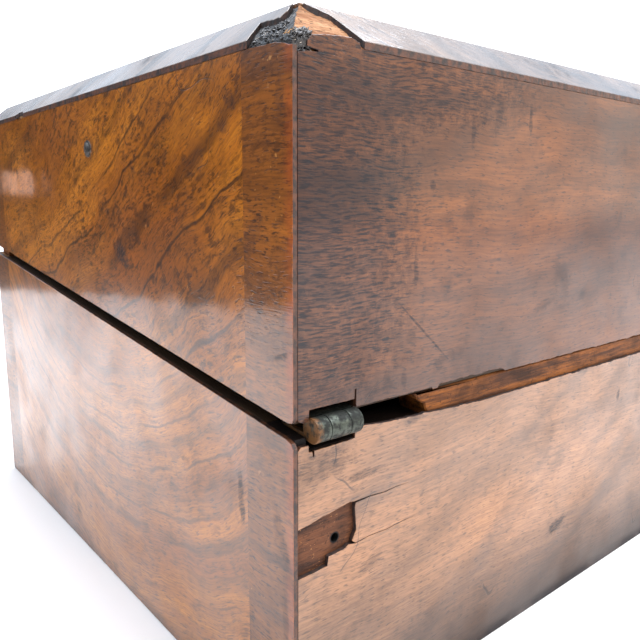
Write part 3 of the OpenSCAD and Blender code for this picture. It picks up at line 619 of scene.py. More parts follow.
# %% Bone
p = Painter("old_bone")
lines_along = p.add(STEP, p.speckle((0.4, 0.4, 5), 3), 0.45, 0.72)
yellowed = p.add(STEP, p.speckle(5, 3), 0.35, 0.70)
tone = p.add(MIX, yellowed, linear("#e6dbc2"), linear("#c8ad7c"))
tone = p.add(MIX, p.add(TIMES, lines_along, 0.5), tone, linear("#8d7247"))
old_bone = p.finish(Base_Color=tone, Roughness=0.32, IOR=1.54, Subsurface_Weight=0.12,
                    Subsurface_Scale=0.002,
                    Normal=p.add("Bump", Height=lines_along, Distance=0.02 * MM))

# %% Tin foil
p = Painter("tin_foil")
creases = p.add(STEP, p.speckle(6, 5, 0.7), 0.30, 0.70)
dulled = p.add(STEP, p.speckle(18, 3), 0.35, 0.70)
tin_foil = p.finish(Base_Color=p.add(MIX, dulled, linear("#a8a9a6"), linear("#6c6d6b")),
                    Metallic=0.85, Roughness=p.add("Math MULTIPLY_ADD", dulled, 0.15, 0.34),
                    Normal=p.add("Bump", Height=creases, Distance=0.35 * MM))

# %% Glass
p = Painter("cut_glass")
smears = p.add(STEP, p.speckle(14, 3), 0.4, 0.8)
cut_glass = p.finish(Base_Color=linear("#f0f6f4"), IOR=1.52, Transmission_Weight=1.0,
                     Roughness=p.add("Math MULTIPLY_ADD", smears, 0.06, 0.01))

# %% [markdown]
# The lid is lined with velvet, once green and now faded. A pile cloth is dark when seen straight
# on and light at a glance, which is what the shader's sheen does. The pile leans in patches, so
# the tone shifts.

# %% Velvet
p = Painter("faded_velvet")
lean = p.add(STEP, p.speckle(11, 3), 0.32, 0.68)
pile = p.speckle(0.5)
tone = p.add(MIX, lean, linear("#2b4433"), linear("#365440"))
tone = p.add(MIX, p.add(STEP, pile, 0.45, 0.65, 0, 0.35), tone, linear("#16241b"))
faded_velvet = p.finish(Base_Color=tone, Roughness=0.95, Sheen_Weight=0.7, Sheen_Roughness=0.35,
                        Sheen_Tint=linear("#a9b79a"),
                        Normal=p.add("Bump", Height=pile, Distance=0.08 * MM))

# %% [markdown]
# ## Broken veneer
# A saw-cut veneer is a millimetre thick, so where it is chipped the broken edge shows as a dark
# line, and that needs real thickness. Each sheet is an outline in millimetres, roughened along its
# broken stretches, with a small eased edge between the face and the sides. A function gives every
# point its place, so the same code serves upright walls and the sloping bevels.

# %% Sheet builder
def roughen(outline, seed):
    """Splits each rough stretch into short steps that wander. Points are (a, b, rough) in mm.

    A stretch with a rough of -1 is dark like a break, and stays straight.
    """
    step = 0.45
    line = []
    for i, (a, b, rough) in enumerate(outline):
        end_a, end_b, _ = outline[(i + 1) % len(outline)]
        line.append((a, b, rough))
        length = math.hypot(end_a - a, end_b - b)
        count = int(length / step) if rough > 0 else 0
        for k in range(1, count):
            t = k / count
            x, y = a + (end_a - a) * t, b + (end_b - b) * t
            spot = Vector((x / 2.2, y / 2.2, seed))
            push = (noise.noise(spot) + 0.6 * noise.noise(spot * 2.7)) * rough
            push *= min(1.0, 6 * t, 6 * (1 - t))
            line.append((x - (end_b - b) / length * push, y + (end_a - a) / length * push, rough))
    return line


def add_piece(name, bm, body, materials, replaces=(), smooth=False):
    """Turns a bmesh into a piece that rides on a body and takes its finish from a slot."""
    bmesh.ops.recalc_face_normals(bm, faces=bm.faces)
    mesh = bpy.data.meshes.new(name)
    bm.to_mesh(mesh)
    bm.free()
    for material in materials:
        mesh.materials.append(material)
    if smooth:
        mesh.polygons.foreach_set("use_smooth", [True] * len(mesh.polygons))
    piece = bpy.data.objects.new(name, mesh)
    scene.collection.objects.link(piece)
    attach(piece, body)
    if replaces:
        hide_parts(*replaces)
    print(name, len(mesh.vertices), "points")
    return piece


def sheet(name, outline, place, body, face, thick=veneer_t, replaces=(), eased=0.08,
          seed=1.0, rims=None, flush=()):
    """A veneer sheet. place(a, b, down) gives a point from mm; rims are its sawn and torn edges.

    Ends at the distances in flush meet another sheet, so they aren't eased.
    """
    line = roughen(outline, seed)
    count = len(line)
    area = sum(line[i][0] * line[(i + 1) % count][1] - line[(i + 1) % count][0] * line[i][1]
               for i in range(count))
    turn = 1 if area > 0 else -1
    inner = []
    for i, (a, b, _) in enumerate(line):
        before, after = line[i - 1], line[(i + 1) % count]
        along = Vector((after[0] - before[0], after[1] - before[1])).normalized()
        pull = 0.0 if a in flush else turn * along.y * eased
        inner.append((a - pull, b + turn * along.x * eased))
    bm = bmesh.new()
    rings = [[bm.verts.new(place(a, b, 0)) for a, b in inner],
             [bm.verts.new(place(a, b, eased)) for a, b, _ in line],
             [bm.verts.new(place(a, b, thick)) for a, b, _ in line]]
    bm.faces.new(rings[0])
    bm.faces.new(rings[2])
    for upper, lower in zip(rings, rings[1:]):
        for i in range(count):
            k = (i + 1) % count
            side_face = bm.faces.new((upper[i], upper[k], lower[k], lower[i]))
            if lower is rings[2]:
                side_face.material_index = 2 if line[i][2] >= 0.1 or line[i][2] < 0 else 1
    sawn, torn = rims or (sawn_rim, torn_rim)
    return add_piece(name, bm, body, (face, sawn, torn), replaces)


# %% Where each wall's sheets lie
def on_back(a, b, down):
    return (half_w - a * MM, back_y - down * MM, b * MM)


def on_front(a, b, down):
    return (half_w - a * MM, front_y + down * MM, b * MM)


def on_right(a, b, down):
    return (half_w - down * MM, back_y - a * MM, b * MM)


def on_left(a, b, down):
    return (-half_w + down * MM, back_y - a * MM, b * MM)


bevel_slope = bevel_rise / bevel_run


def bevel_height(b, down):
    return (side_h + bevel_slope * b - down) * MM


def on_back_bevel(a, b, down):
    return (half_w - a * MM, back_y - b * MM, bevel_height(b, down))


def on_front_bevel(a, b, down):
    return (half_w - a * MM, front_y + b * MM, bevel_height(b, down))


def on_right_bevel(a, b, down):
    return (half_w - b * MM, back_y - a * MM, bevel_height(b, down))


def on_left_bevel(a, b, down):
    return (-half_w + b * MM, back_y - a * MM, bevel_height(b, down))


# %% [markdown]
# The back of the base has lost a piece at the near edge, with two cracks running on from the gap.
# Its top edge is worn down between the hinges. The lid's sheet is chipped along the bottom, and a
# saw ran on past the corner of each hinge notch. Both hinges sit in notches, whose ends are found
# from the leaves' boxes.

# %% Back veneer
notch_near = (half_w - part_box("right_hinge_base_leaf")[1].x) / MM - 0.3
notch_far = (half_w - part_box("right_hinge_base_leaf")[0].x) / MM + 0.1
notch_low, notch_high = axis_z / MM - 4.1, axis_z / MM + 4.05
edge_gap = veneer_t + 0.15
far = width
base_back_outline = [
    (edge_gap, 0.15, 0.0), (edge_gap, 40.3, 0.12), (8.5, 40.5, 0.12), (8.8, 42.4, 0.14),
    (12.6, 42.6, 0.2), (14.0, 43.2, -1), (16, 42.82, -1), (20, 43.14, -1), (25, 42.94, -1),
    (30, 43.25, -1), (34, 43.3, -1), (30, 43.33, -1), (25, 43.03, -1), (20, 43.24, -1),
    (16, 42.95, -1), (15, 43.7, 0.25), (16.1, 45.8, 0.22), (15.7, 50.8, 0.1), (15.9, 51.7, -1),
    (20, 51.92, -1), (24, 51.62, -1), (28, 51.86, -1), (31.9, 51.75, -1), (28, 51.95, -1),
    (24, 51.75, -1), (20, 52.08, -1), (15.4, 52.1, -1), (14.3, 52.35, 0.12),
    (edge_gap, 50.5, 0.05), (edge_gap, 66.2, 0.0), (1.9, 66.9, 0.1), (notch_near, 66.8, 0.0),
    (notch_near, notch_low, 0.05), (notch_near + 0.9, notch_low - 0.1, 0.0),
    (notch_near + 1.05, notch_low - 1.2, 0.0), (notch_near + 1.3, notch_low - 1.15, 0.0),
    (notch_near + 1.4, notch_low, 0.1), (notch_far, notch_low + 0.1, 0.05),
    (notch_far + 0.1, 67.9, 0.12), (24, 67.0, 0.22), (40, 66.2, 0.28), (56, 65.4, 0.28),
    (far - 56, 65.6, 0.25), (far - 24, 67.2, 0.2), (far - notch_far, 67.9, 0.0),
    (far - notch_far, notch_low, 0.1), (far - notch_near, notch_low, 0.0),
    (far - notch_near, 67.4, 0.1), (far - edge_gap, 67.2, 0.0), (far - edge_gap, 0.15, 0.0)]
sheet("broken_back_veneer", base_back_outline, on_back, "base", back_base_walnut,
      replaces=["base_back_veneer"], seed=3.1)
lid_back_outline = [
    (edge_gap, 72.6, 0.0), (1.6, 71.7, 0.0), (2.5, 71.35, 0.0), (notch_near, 71.6, 0.0),
    (notch_near + 0.1, notch_high, 0.12), (notch_far - 0.25, notch_high, 0.0),
    (notch_far - 0.15, 75.7, 0.0), (notch_far + 0.2, 75.75, 0.0), (notch_far + 0.2, 72.0, 0.12),
    (38, 71.9, 0.0), (38.5, 71.4, 0.1), (40, 71.45, 0.1), (40.6, 72.25, 0.25), (63, 72.2, 0.2),
    (65, 71.35, 0.28), (far - 60, 71.35, 0.25), (far - notch_far, 71.5, 0.0),
    (far - notch_far, notch_high, 0.1), (far - notch_near, notch_high, 0.0),
    (far - notch_near, 71.5, 0.0), (far - edge_gap, 72.3, 0.0), (far - edge_gap, lid_edge, 0.06),
    (15.6, lid_edge - 0.02, 0.0), (15.2, 139.6, 0.14), (13.2, 140.2, 0.1), (11, 140.1, 0.16),
    (6.8, 139.8, 0.2), (4.3, 139.4, 0.14), (3.3, 138.3, 0.14), (3.2, 137.4, -1), (5.6, 137.05, -1),
    (5.7, 136.75, -1), (3.0, 136.6, 0.14), (edge_gap, 136.2, 0.0)]
sheet("chipped_lid_back_veneer", lid_back_outline, on_back, "lid", back_lid_walnut,
      replaces=["lid_back_veneer"], seed=5.7)


# %% Side and front veneers, and their crossbands
def wall_outline(a0, a1, low, high, worn=0.07):
    """A panel between two distances, with straight ends and worn low and high edges."""
    return [(a0, low(a0), worn), (a1, low(a1), 0.0), (a1, high(a1), worn), (a0, high(a0), 0.0)]


def floor_line(a):
    return 0.12


def lid_top_line(a):
    return lid_edge - 0.02


def front_base_line(a):
    return base_top(depth)


def front_lid_line(a):
    return lid_bottom(depth)


seam = 0.002
inner_a, inner_b = band_w + seam, depth - band_w - seam
joins = (inner_a, inner_b, band_w, depth - band_w)
for side_name, place in (("right", on_right), ("left", on_left)):
    sheet(f"{side_name}_base_sheet", wall_outline(inner_a, inner_b, floor_line, base_top), place,
          "base", side_base_walnut, replaces=[f"base_{side_name}_veneer"], seed=7.3,
          flush=joins)
    sheet(f"{side_name}_lid_sheet", wall_outline(inner_a, inner_b, lid_bottom, lid_top_line), place,
          "lid", side_lid_walnut, replaces=[f"lid_{side_name}_veneer"], seed=8.9,
          flush=joins)
    far_base = wall_outline(depth - band_w, depth - 0.02, floor_line, base_top)
    far_lid = wall_outline(depth - band_w, depth - 0.02, lid_bottom, lid_top_line)
    sheet(f"{side_name}_front_base_band", far_base, place, "base",
          side_band_walnut, seed=9.9, flush=joins)
    sheet(f"{side_name}_front_lid_band", far_lid, place, "lid", side_band_walnut,
          seed=10.3, flush=joins)
near_base_band = [(0.0, 0.15, 0.05), (band_w, 0.12, 0.0), (band_w, base_top(band_w), 0.07),
                  (2.2, base_top(2.2), 0.0), (0.7, 67.75, 0.0), (0.0, 66.9, 0.04)]
near_lid_band = [(0.0, 72.5, 0.0), (0.5, 71.7, 0.0), (1.6, 71.5, 0.06),
                 (band_w, lid_bottom(band_w), 0.0), (band_w, lid_edge - 0.02, 0.1),
                 (4.6, 138.3, 0.22), (2.0, 137.7, 0.2), (0.0, 137.2, 0.05)]
whole_lid_band = near_lid_band[:5] + [(0.0, lid_edge - 0.02, 0.0)]
sheet("right_back_base_band", near_base_band, on_right, "base", side_band_walnut,
      replaces=["base_crossbands"], seed=11.1, flush=joins)
sheet("right_back_lid_band", near_lid_band, on_right, "lid", side_band_walnut,
      replaces=["lid_crossbands"], seed=12.7, flush=joins)
sheet("left_back_base_band", near_base_band, on_left, "base", side_band_walnut,
      seed=13.1, flush=joins)
sheet("left_back_lid_band", whole_lid_band, on_left, "lid", side_band_walnut,
      seed=13.9, flush=joins)
for name, a0, a1 in (("right_front", edge_gap, band_w + 1),
                     ("left_front", width - band_w - 1, width - edge_gap)):
    sheet(f"{name}_base_edge_band", wall_outline(a0, a1, floor_line, front_base_line), on_front,
          "base", front_band_walnut, seed=14.5)
    sheet(f"{name}_lid_edge_band", wall_outline(a0, a1, front_lid_line, lid_top_line), on_front,
          "lid", front_band_walnut, seed=15.3)

# %% [markdown]
# Four bevels run round the top, mitred at the corners. Two of them are broken off at the near
# corner, and the right one has a chip near its far end.

# %% Bevel veneers
mitre = bevel_run
back_bevel = [(16.4, 0.0, 0.12), (15.4, 1.2, 0.14), (14.2, 2.5, 0.14), (13.0, 3.9, 0.16),
              (11.8, 4.9, 0.16), (10.0, 5.5, 0.14), (8.4, 5.95, 0.1),
              (7.3, bevel_run - 0.03, 0.0),
              (width - mitre, bevel_run - 0.03, 0.0), (width, 0.0, 0.09)]
right_bevel = [(13.4, 0.0, 0.12), (13.9, 1.2, 0.2), (14.4, 2.8, 0.2), (14.7, 3.9, 0.2),
               (11.0, 3.6, 0.24), (7.9, 3.4, 0.2), (7.4, 4.6, 0.2), (8.0, 5.6, 0.14),
               (7.9, bevel_run - 0.03, 0.0), (depth - mitre, bevel_run - 0.03, 0.0),
               (depth, 0.0, 0.06), (157, 0.0, 0.12), (154, 0.9, 0.12), (150, 0.8, 0.1),
               (148, 0.0, 0.06)]
plain_bevel = [(0.0, 0.0, 0.0), (mitre, bevel_run - 0.03, 0.0)]
sheet("broken_back_bevel", back_bevel, on_back_bevel, "lid", bevel_walnut,
      thick=bevel_edge_t - 0.02, replaces=["back_bevel_veneer"], seed=16.1)
sheet("broken_right_bevel", right_bevel, on_right_bevel, "lid", bevel_walnut,
      thick=bevel_edge_t - 0.02, replaces=["right_bevel_veneer"], seed=17.9)
sheet("front_bevel_sheet", plain_bevel + [(width - mitre, bevel_run - 0.03, 0.0),
                                          (width, 0.0, 0.06)], on_front_bevel, "lid",
      bevel_walnut, thick=bevel_edge_t - 0.02, replaces=["front_bevel_veneer"], seed=18.3)
sheet("left_bevel_sheet", plain_bevel + [(depth - mitre, bevel_run - 0.03, 0.0),
                                         (depth, 0.0, 0.06)], on_left_bevel, "lid",
      bevel_walnut, thick=bevel_edge_t - 0.02, replaces=["left_bevel_veneer"], seed=19.1)

# %% [markdown]
# ## Lipping and the torn corner
# Behind the back veneer a strip of brown wood fills the gap under the lid. It has split off near
# the hinge and ends in a slanting point, with a dark hollow beyond it. The strip is a sheet too,
# 8 mm thick, cut in the wall's plane.

# %% Back lipping
strip_top = split_back + split_gap - 0.35
back_strip = [(33.5, strip_top, 0.0), (34.3, 70.0, 0.14), (35.2, 69.0, 0.14), (36.8, 68.3, 0.12),
              (37.9, 65.1, 0.0), (far - notch_far - 0.6, 65.1, 0.0),
              (far - notch_far - 0.6, strip_top, 0.05)]


def on_lipping(a, b, down):
    """The strip's face, just behind the veneer; its top follows the slope of the split."""
    rise = split_slope * (down + 0.9) if b > 68.5 else 0.0
    return (half_w - a * MM, back_y - (0.93 + down) * MM, (b + rise) * MM)


sheet("split_back_lipping", back_strip, on_lipping, "base", lipping_wide, thick=8.0,
      replaces=["back_lipping"], eased=0.35, seed=21.3, rims=(lipping_wide, lipping_wide))

# %% [markdown]
# At the lid's near corner the bevels, and a bite of the veneers below them, have broken away. The
# bare ground is torn pine on the back half, in ridges along the fibres, and the rest is old glue in
# crumbs. The ground is a grid over the corner whose height follows the lower bevel line, lifted
# by noise that is long across and fine down the slope, and skirted so that it is closed.

# %% Torn ground
ground_gap = bevel_edge_t - 0.1


def ground_point(s, u):
    """A point of the torn ground, s mm from the side face and u mm from the back face."""
    inwards = min(s, u)
    ridge = noise.noise(Vector((s / 2.6, u / 0.42, 1.3))) + 0.5 * noise.noise(
        Vector((s / 0.9, u / 0.3, 4.1)))
    broad = noise.noise(Vector((s / 3.1, u / 3.1, 9.2)))
    lift = 0.24 * ridge + 0.22 * broad + 0.22
    crumble = 0.9 * math.exp(-inwards / 0.5) + 0.8 * math.exp(-(s + u) / 2.2)
    height = bevel_height(inwards, ground_gap) / MM + max(-0.1, min(lift, 0.75)) - crumble
    return (half_w - s * MM, back_y - u * MM, height * MM)


def torn_ground(name, wanted, material):
    """One closed skin over the grid cells whose middle passes wanted(s, u)."""
    cell, reach_mm = 0.25, 18.6
    steps = int(reach_mm / cell)
    bm = bmesh.new()
    grid = {}

    def corner_of(i, j):
        if (i, j) not in grid:
            grid[i, j] = bm.verts.new(ground_point(0.25 + i * cell, 0.25 + j * cell))
        return grid[i, j]

    for i in range(steps):
        for j in range(steps):
            s, u = 0.25 + (i + 0.5) * cell, 0.25 + (j + 0.5) * cell
            if min(s, u) < bevel_run + 0.3 and wanted(s, u):
                bm.faces.new([corner_of(*c) for c in ((i, j), (i + 1, j), (i + 1, j + 1),
                                                      (i, j + 1))])
    rim_edges = [e for e in bm.edges if e.is_boundary]
    made = bmesh.ops.extrude_edge_only(bm, edges=rim_edges)["geom"]
    for vert in (g for g in made if isinstance(g, bmesh.types.BMVert)):
        vert.co.z -= 1.2 * MM
    return add_piece(name, bm, "lid", (material,), smooth=False)


def on_back_half(s, u):
    edge = 0.7 * noise.noise(Vector((s / 1.6, u / 1.6, 2.0)))
    return u < s + 0.2 + edge and (u > 1.3 + edge or s > 4.2 + edge)


def on_side_half(s, u):
    return not on_back_half(s, u)


torn_ground("torn_pine_ground", on_back_half, torn_pine)
torn_ground("glue_stained_ground", on_side_half, old_glue)

# %% Crumbs of glue
dice = random.Random(41)


def crumbs(name, count, spot, size_mm, material):
    """Small irregular lumps, each a ball of few faces pushed about by noise."""
    bm = bmesh.new()
    for k in range(count):
        middle_point, lift = spot()
        size = dice.uniform(*size_mm) * MM
        made = bmesh.ops.create_icosphere(bm, subdivisions=2, radius=size)["verts"]
        # The glue was drawn into ridges that climb away from the corner, and lumps lie along them
        stretch = Vector([dice.uniform(1.2, 2.6), dice.uniform(0.6, 1.0), dice.uniform(0.4, 0.8)])
        turn = Matrix.Rotation(math.radians(35) + dice.uniform(-0.5, 0.5), 3, Vector(
            (dice.uniform(-0.3, 0.3), 1.0, dice.uniform(-0.3, 0.3))).normalized())
        for vert in made:
            bulge = 1 + 0.45 * noise.noise(vert.co / size * 1.3 + Vector((k * 3.7, 0, 0)))
            shaped = turn @ Vector([vert.co[n] * stretch[n] * bulge for n in range(3)])
            vert.co = shaped + Vector(middle_point) + Vector((0, 0, lift))
    return add_piece(name, bm, "lid", (material,), smooth=True)


def corner_spot():
    """Somewhere on the upright bite at the corner, or low on the slope above it."""
    if dice.random() < 0.62:
        s, z = dice.uniform(0.4, 4.3), dice.uniform(136.5, 140.0)
        return (half_w - s * MM, back_y - dice.uniform(0.25, 0.85) * MM, z * MM), 0.0
    s, u = dice.uniform(0.4, 4.6), dice.uniform(0.3, 1.7)
    return ground_point(s, u), dice.uniform(-0.15, 0.1) * MM


def side_spot():
    """Somewhere on the broken slope of the side, from the mitre to the far end of the break."""
    s = dice.uniform(0.4, 3.9)
    u = s + dice.uniform(0.2, 1.0) * (12.5 - s)
    return ground_point(s, u), dice.uniform(-0.2, 0.0) * MM


crumbs("black_glue_crumbs", 190, corner_spot, (0.12, 0.36), old_glue)
crumbs("side_glue_crumbs", 190, side_spot, (0.12, 0.36), old_glue)
crumbs("chalky_glue_crumbs", 60, lambda: corner_spot() if dice.random() < 0.55 else side_spot(),
       (0.07, 0.18), chalky_glue)

# %% [markdown]
# ## Hinges and nail
# Each hinge barrel is three knuckles rolled from the leaves' plate. Rolled plate leaves a seam
# along the back, which is not made here; the ends are rounded by wear, and the knuckles are
# slightly dented. They are turned here a hair larger than the leaves' own, which they cover. The
# nail that someone drove through the lid to mend it has a low dome.

# %% Turned pieces
def turned(name, profile, axis, centre, body, material, segments=48, dent=0.0, seed=0.0):
    """Spins a profile of (along, radius) in mm round X or Z through centre, with small dents."""
    bm = bmesh.new()
    rings = []
    for k, (along, radius) in enumerate(profile):
        ring = []
        for n in range(segments):
            angle = 2 * math.pi * n / segments
            wave = noise.noise(Vector((along / 1.7 + seed, 1.4 * math.cos(angle),
                                       1.4 * math.sin(angle))))
            r = max(0.02, radius * (1 + dent * wave)) * MM
            c, s = r * math.cos(angle), r * math.sin(angle)
            ring.append(bm.verts.new((centre[0] + along * MM, centre[1] + c, centre[2] + s)
                                     if axis == "X" else
                                     (centre[0] + c, centre[1] + s, centre[2] + along * MM)))
        rings.append(ring)
    for ring, above in zip(rings, rings[1:]):
        for n in range(segments):
            m = (n + 1) % segments
            bm.faces.new((ring[n], ring[m], above[m], above[n]))
    bm.faces.new(rings[0])
    bm.faces.new(rings[-1])
    return add_piece(name, bm, body, (material,), smooth=True)


def knuckle_profile(start, end, near_round, far_round, radius):
    """A barrel with rounded ends: the rounds are quarter ellipses."""
    profile = [(start, radius * 0.5), (start, radius - near_round)]
    for k in range(1, 7):
        a = math.radians(15 * k)
        profile.append((start + near_round * (1 - math.cos(a)) * 0.8,
                        radius - near_round * (1 - math.sin(a))))
    middle_steps = 6
    low_x, high_x = profile[-1][0], end - far_round * 0.8
    for k in range(1, middle_steps):
        profile.append((low_x + (high_x - low_x) * k / middle_steps, radius))
    for k in range(6, 0, -1):
        a = math.radians(15 * k)
        profile.append((end - far_round * (1 - math.cos(a)) * 0.8,
                        radius - far_round * (1 - math.sin(a))))
    return profile + [(end, radius - far_round), (end, radius * 0.5)]


barrel_r = 2.5
leaf_near = (half_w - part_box("right_hinge_base_leaf")[1].x) / MM
leaf_far = (half_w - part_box("right_hinge_base_leaf")[0].x) / MM
knuckles = ((leaf_near - 0.02, 7.16, 0.35, 0.18, "base"), (7.26, 12.14, 0.18, 0.18, "lid"),
            (12.24, leaf_far + 0.02, 0.18, 1.0, "base"))
for side_name, sign in (("right", 1), ("left", -1)):
    for k, (start, end, near_round, far_round, body) in enumerate(knuckles):
        profile = knuckle_profile(start, end, near_round, far_round, barrel_r)
        placed = [(-sign * along, r) for along, r in profile]
        if sign > 0:
            placed = placed[::-1]
        turned(f"{side_name}_knuckle_{k + 1}", placed, "X", (sign * half_w, axis_y, axis_z), body,
               hinge_brass, dent=0.022, seed=5.0 * k + sign)

# %% Repair nail
nail_low, nail_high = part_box("repair_nail")
nail_middle = ((nail_low.y + nail_high.y) / 2, (nail_low.z + nail_high.z) / 2)
nail_r = (nail_high.z - nail_low.z) / 2 / MM
dome = [(-0.3, nail_r * 0.96)] + [(0.62 * math.sin(math.radians(a)),
                                   nail_r * math.cos(math.radians(a))) for a in range(0, 90, 9)]
turned("domed_nail_head", dome, "X", (half_w - 0.1 * MM, *nail_middle), "lid",
       nail_iron, dent=0.05, seed=2.2)

# %% Finishes for the carried-over nodes
def finish_node(node, material, edge_mm=0.0, smooth=False):
    """Puts a material on a carried-over node, and eases its edges if asked."""
    piece = nodes[node]
    piece.data.materials.clear()
    piece.data.materials.append(material)
    if smooth:
        piece.data.polygons.foreach_set("use_smooth", [True] * len(piece.data.polygons))
    if edge_mm:
        weld = piece.modifiers.new("weld", "WELD")
        weld.merge_threshold = 0.002 * MM
        ease = piece.modifiers.new("ease", "BEVEL")
        ease.width = edge_mm * MM
        ease.segments = 3
        ease.limit_method = "ANGLE"
        ease.angle_limit = math.radians(30)
    return piece


FINISHES = {
    front_walnut: (("base_front_veneer", 0.12), ("lid_front_veneer", 0.12)),
    top_walnut: (("lid_top_veneer", 0.12),),
    pine_wide: (("base_front_board", 0.3), ("bottom_board", 0.3), ("lid_front_board", 0.3),
                ("lid_top_board", 0.0)),
    rim_pine: (("lid_left_board", 0.3), ("lid_right_board", 0.3)),
    ledge_pine: (("base_left_board", 0.3), ("base_right_board", 0.3)),
    stained_and_shaded_wide: (("base_back_board", 0.2),),
    lid_back_pine: (("lid_back_board", 0.2),),
    lipping_wide: (("front_lipping", 0.4),),
    shaded_lipping_deep: (("left_lipping", 0.4), ("right_lipping", 0.4)),
    mahogany_deep: (("left_partition", 0.5), ("right_partition", 0.5), ("bowl_board_ledges", 0.3),
                    ("left_tea_lid", 0.8), ("right_tea_lid", 0.8)),
    mahogany_wide: (("bowl_board", 0.5),),
    tin_foil: (("left_tea_liner", 0.3), ("right_tea_liner", 0.3)),
    old_bone: (("escutcheon", 0.2), ("left_lid_knob", 0.25), ("right_lid_knob", 0.25)),
    plate_brass: (("lock_selvedge", 0.3), ("lock_link_plate", 0.25), ("lock_bolt", 0.2),
                  ("lock_screws", 0.1), ("link_plate_screws", 0.1), ("base_hinge_screws", 0.1),
                  ("lid_hinge_screws", 0.1)),
    hinge_brass: (("right_hinge_base_leaf", 0.15), ("left_hinge_base_leaf", 0.15),
                  ("right_hinge_lid_leaf", 0.15), ("left_hinge_lid_leaf", 0.15)),
    black_iron: (("lock_case", 0.3), ("lock_key_pin", 0.15), ("right_hinge_pin", 0.1),
                 ("left_hinge_pin", 0.1)),
    nail_iron: (("repair_nail", 0.0),),
}
for material, group in FINISHES.items():
    for node, edge_mm in group:
        finish_node(node, material, edge_mm, smooth="knob" in node)
print("finished", sum(len(g) for g in FINISHES.values()), "nodes")

# %% [markdown]
# ## Glass bowl
# The bowl is blown, then its sides are cut in flutes on a wheel. Its section is read off the CAD
# bowl's box: foot, straight sides, flared lip. Spinning it finely, and pressing the outer radius
# in a little between the flutes' ridges, gives the cut without touching the inside.

# %% Cut bowl
bowl_low, bowl_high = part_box("mixing_bowl")
bowl_y = (bowl_low.y + bowl_high.y) / 2
foot_z, lip_z = bowl_low.z / MM, bowl_high.z / MM
lip_r = (bowl_high.x - bowl_low.x) / 2 / MM
body_r, wall, corner_r = lip_r - 4.5, 2.2, 16.0
corner_z = foot_z + 4 + corner_r
outer = [(0.02, foot_z + 2), (14, foot_z + 2), (14.8, foot_z + 0.4), (15.6, foot_z),
         (19.2, foot_z), (20, foot_z + 0.6), (19.4, foot_z + 3.6)]
outer += [(body_r - corner_r + corner_r * math.sin(math.radians(a)),
           corner_z - corner_r * math.cos(math.radians(a))) for a in range(0, 91, 6)]
outer += [(body_r, corner_z + (lip_z - 12 - corner_z) * k / 8) for k in range(1, 9)]
outer += [(body_r + 0.5, lip_z - 9), (body_r + 1.8, lip_z - 5), (lip_r - 0.3, lip_z - 1.0),
          (lip_r - 0.2, lip_z - 0.4), (lip_r - 0.9, lip_z - 0.05), (lip_r - wall, lip_z - 0.3)]
inner_wall = [(body_r - wall + 1.2, lip_z - 6), (body_r - wall + 0.1, lip_z - 10)]
inner_wall += [(body_r - corner_r + (corner_r - wall) * math.sin(math.radians(a)),
                corner_z - (corner_r - wall) * math.cos(math.radians(a)))
               for a in range(90, -1, -6)]
inner_wall += [(0.02, corner_z - corner_r + wall)]
flutes, around_steps = 18, 144
bm = bmesh.new()
rings = []
for k, (radius, z) in enumerate(outer + inner_wall):
    is_cut = k < len(outer) and foot_z + 5 < z < lip_z - 13
    share = min(1.0, (z - foot_z - 5) / 6, (lip_z - 13 - z) / 6) if is_cut else 0.0
    ring = []
    for n in range(around_steps):
        angle = 2 * math.pi * n / around_steps
        ridge = abs(math.sin(flutes * angle / 2))
        r = (radius - 0.9 * share * (1 - ridge ** 2) * 0.9) * MM
        ring.append(bm.verts.new((r * math.cos(angle), bowl_y + r * math.sin(angle), z * MM)))
    rings.append(ring)
for ring, above in zip(rings, rings[1:]):
    for n in range(around_steps):
        m = (n + 1) % around_steps
        bm.faces.new((ring[n], ring[m], above[m], above[n]))
bm.faces.new(rings[0])
bm.faces.new(rings[-1])
add_piece("fluted_bowl", bm, "mixing_bowl", (cut_glass,),
          replaces=["mixing_bowl"], smooth=True)

# %% [markdown]
# ## Quilted lining
# The lid's pad is wadding under velvet, buttoned down in rows. Its box comes from the frame. A thin
# slab is blown up by cloth simulation with the edges and the button points held, so that it
# swells between them as real wadding does. The result is kept as a plain mesh.

# %% Velvet pad
pad_low, pad_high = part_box("lid_lining_pad")
columns, rows = 6, 4
cells_x, cells_y = 72, 48
bm = bmesh.new()
top_z, low_z = pad_high.z - 0.15 * MM, pad_low.z + 2.2 * MM
inset = 0.3 * MM
layers = []
for z in (low_z, top_z):
    layer = [[bm.verts.new((pad_low.x + inset + (pad_high.x - pad_low.x - 2 * inset) * i / cells_x,
                            pad_low.y + inset + (pad_high.y - pad_low.y - 2 * inset) * j / cells_y,
                            z)) for j in range(cells_y + 1)] for i in range(cells_x + 1)]
    layers.append(layer)
for layer in layers:
    for i in range(cells_x):
        for j in range(cells_y):
            bm.faces.new((layer[i][j], layer[i + 1][j], layer[i + 1][j + 1], layer[i][j + 1]))
loop = [(i, 0) for i in range(cells_x)] + [(cells_x, j) for j in range(cells_y)]
loop += [(i, cells_y) for i in range(cells_x, 0, -1)] + [(0, j) for j in range(cells_y, 0, -1)]
for (i, j), (k, m) in zip(loop, loop[1:] + loop[:1]):
    bm.faces.new((layers[0][i][j], layers[0][k][m], layers[1][k][m], layers[1][i][j]))
buttons = []
for column in range(1, columns):
    for row in range(1, rows):
        i, j = column * cells_x // columns, row * cells_y // rows
        buttons.append((i, j))
bm.verts.index_update()
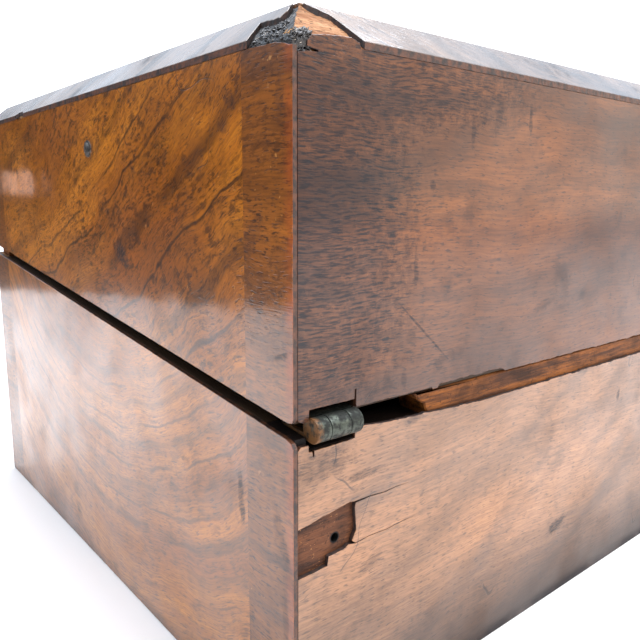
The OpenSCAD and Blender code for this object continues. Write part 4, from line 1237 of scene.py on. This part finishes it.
held = [layers[1][i][j].index for i in range(cells_x + 1) for j in range(cells_y + 1)]
held += [layers[0][i][j].index for i, j in loop]
held += [layers[0][i][j].index for i, j in buttons]
for i, j in buttons:
    layers[0][i][j].co.z += 2.6 * MM
button_places = [layers[0][i][j].co.copy() for i, j in buttons]
pad = add_piece("quilted_velvet_pad", bm, "lid", (faded_velvet,),
                replaces=["lid_lining_pad"], smooth=True)
group = pad.vertex_groups.new(name="held")
group.add(held, 1.0, "REPLACE")
rest = [v.co.copy() for v in pad.data.vertices]
cloth = pad.modifiers.new("swell", "CLOTH")
cloth.settings.quality = 6
cloth.settings.mass = 0.2
cloth.settings.tension_stiffness = 2
cloth.settings.bending_stiffness = 0.1
cloth.settings.use_pressure = True
cloth.settings.uniform_pressure_force = 14
cloth.settings.vertex_group_mass = "held"
cloth.settings.effector_weights.gravity = 0
scene.frame_start, scene.frame_end = 1, 20
for step in range(1, 21):
    scene.frame_set(step)
evaluated = pad.evaluated_get(bpy.context.evaluated_depsgraph_get())
swollen = [v.co.copy() for v in evaluated.data.vertices]
pad.modifiers.remove(cloth)
scene.frame_set(1)
limit = 2.1 * MM
for vert, was, now in zip(pad.data.vertices, rest, swollen):
    move = now - was
    if move.length > limit:
        move *= limit / move.length
    spot = was + move
    spot.z = min(max(spot.z, pad_low.z + 0.05 * MM), pad_high.z)
    spot.x = min(max(spot.x, pad_low.x), pad_high.x)
    spot.y = min(max(spot.y, pad_low.y), pad_high.y)
    vert.co = spot
pad.data.update()
smoother = pad.modifiers.new("soften", "SUBSURF")
smoother.levels = smoother.render_levels = 1
print("pad swelled by up to", round(max((n - w).length for n, w in zip(swollen, rest)) / MM, 2))

# %% Buttons on the lining
bm = bmesh.new()
for spot in button_places:
    made = bmesh.ops.create_uvsphere(bm, u_segments=16, v_segments=8, radius=2.4 * MM)["verts"]
    for vert in made:
        vert.co = Vector((vert.co.x, vert.co.y, vert.co.z * 0.36)) + spot - Vector((0, 0, 1.6 * MM))
add_piece("velvet_buttons", bm, "lid", (faded_velvet,), smooth=True)
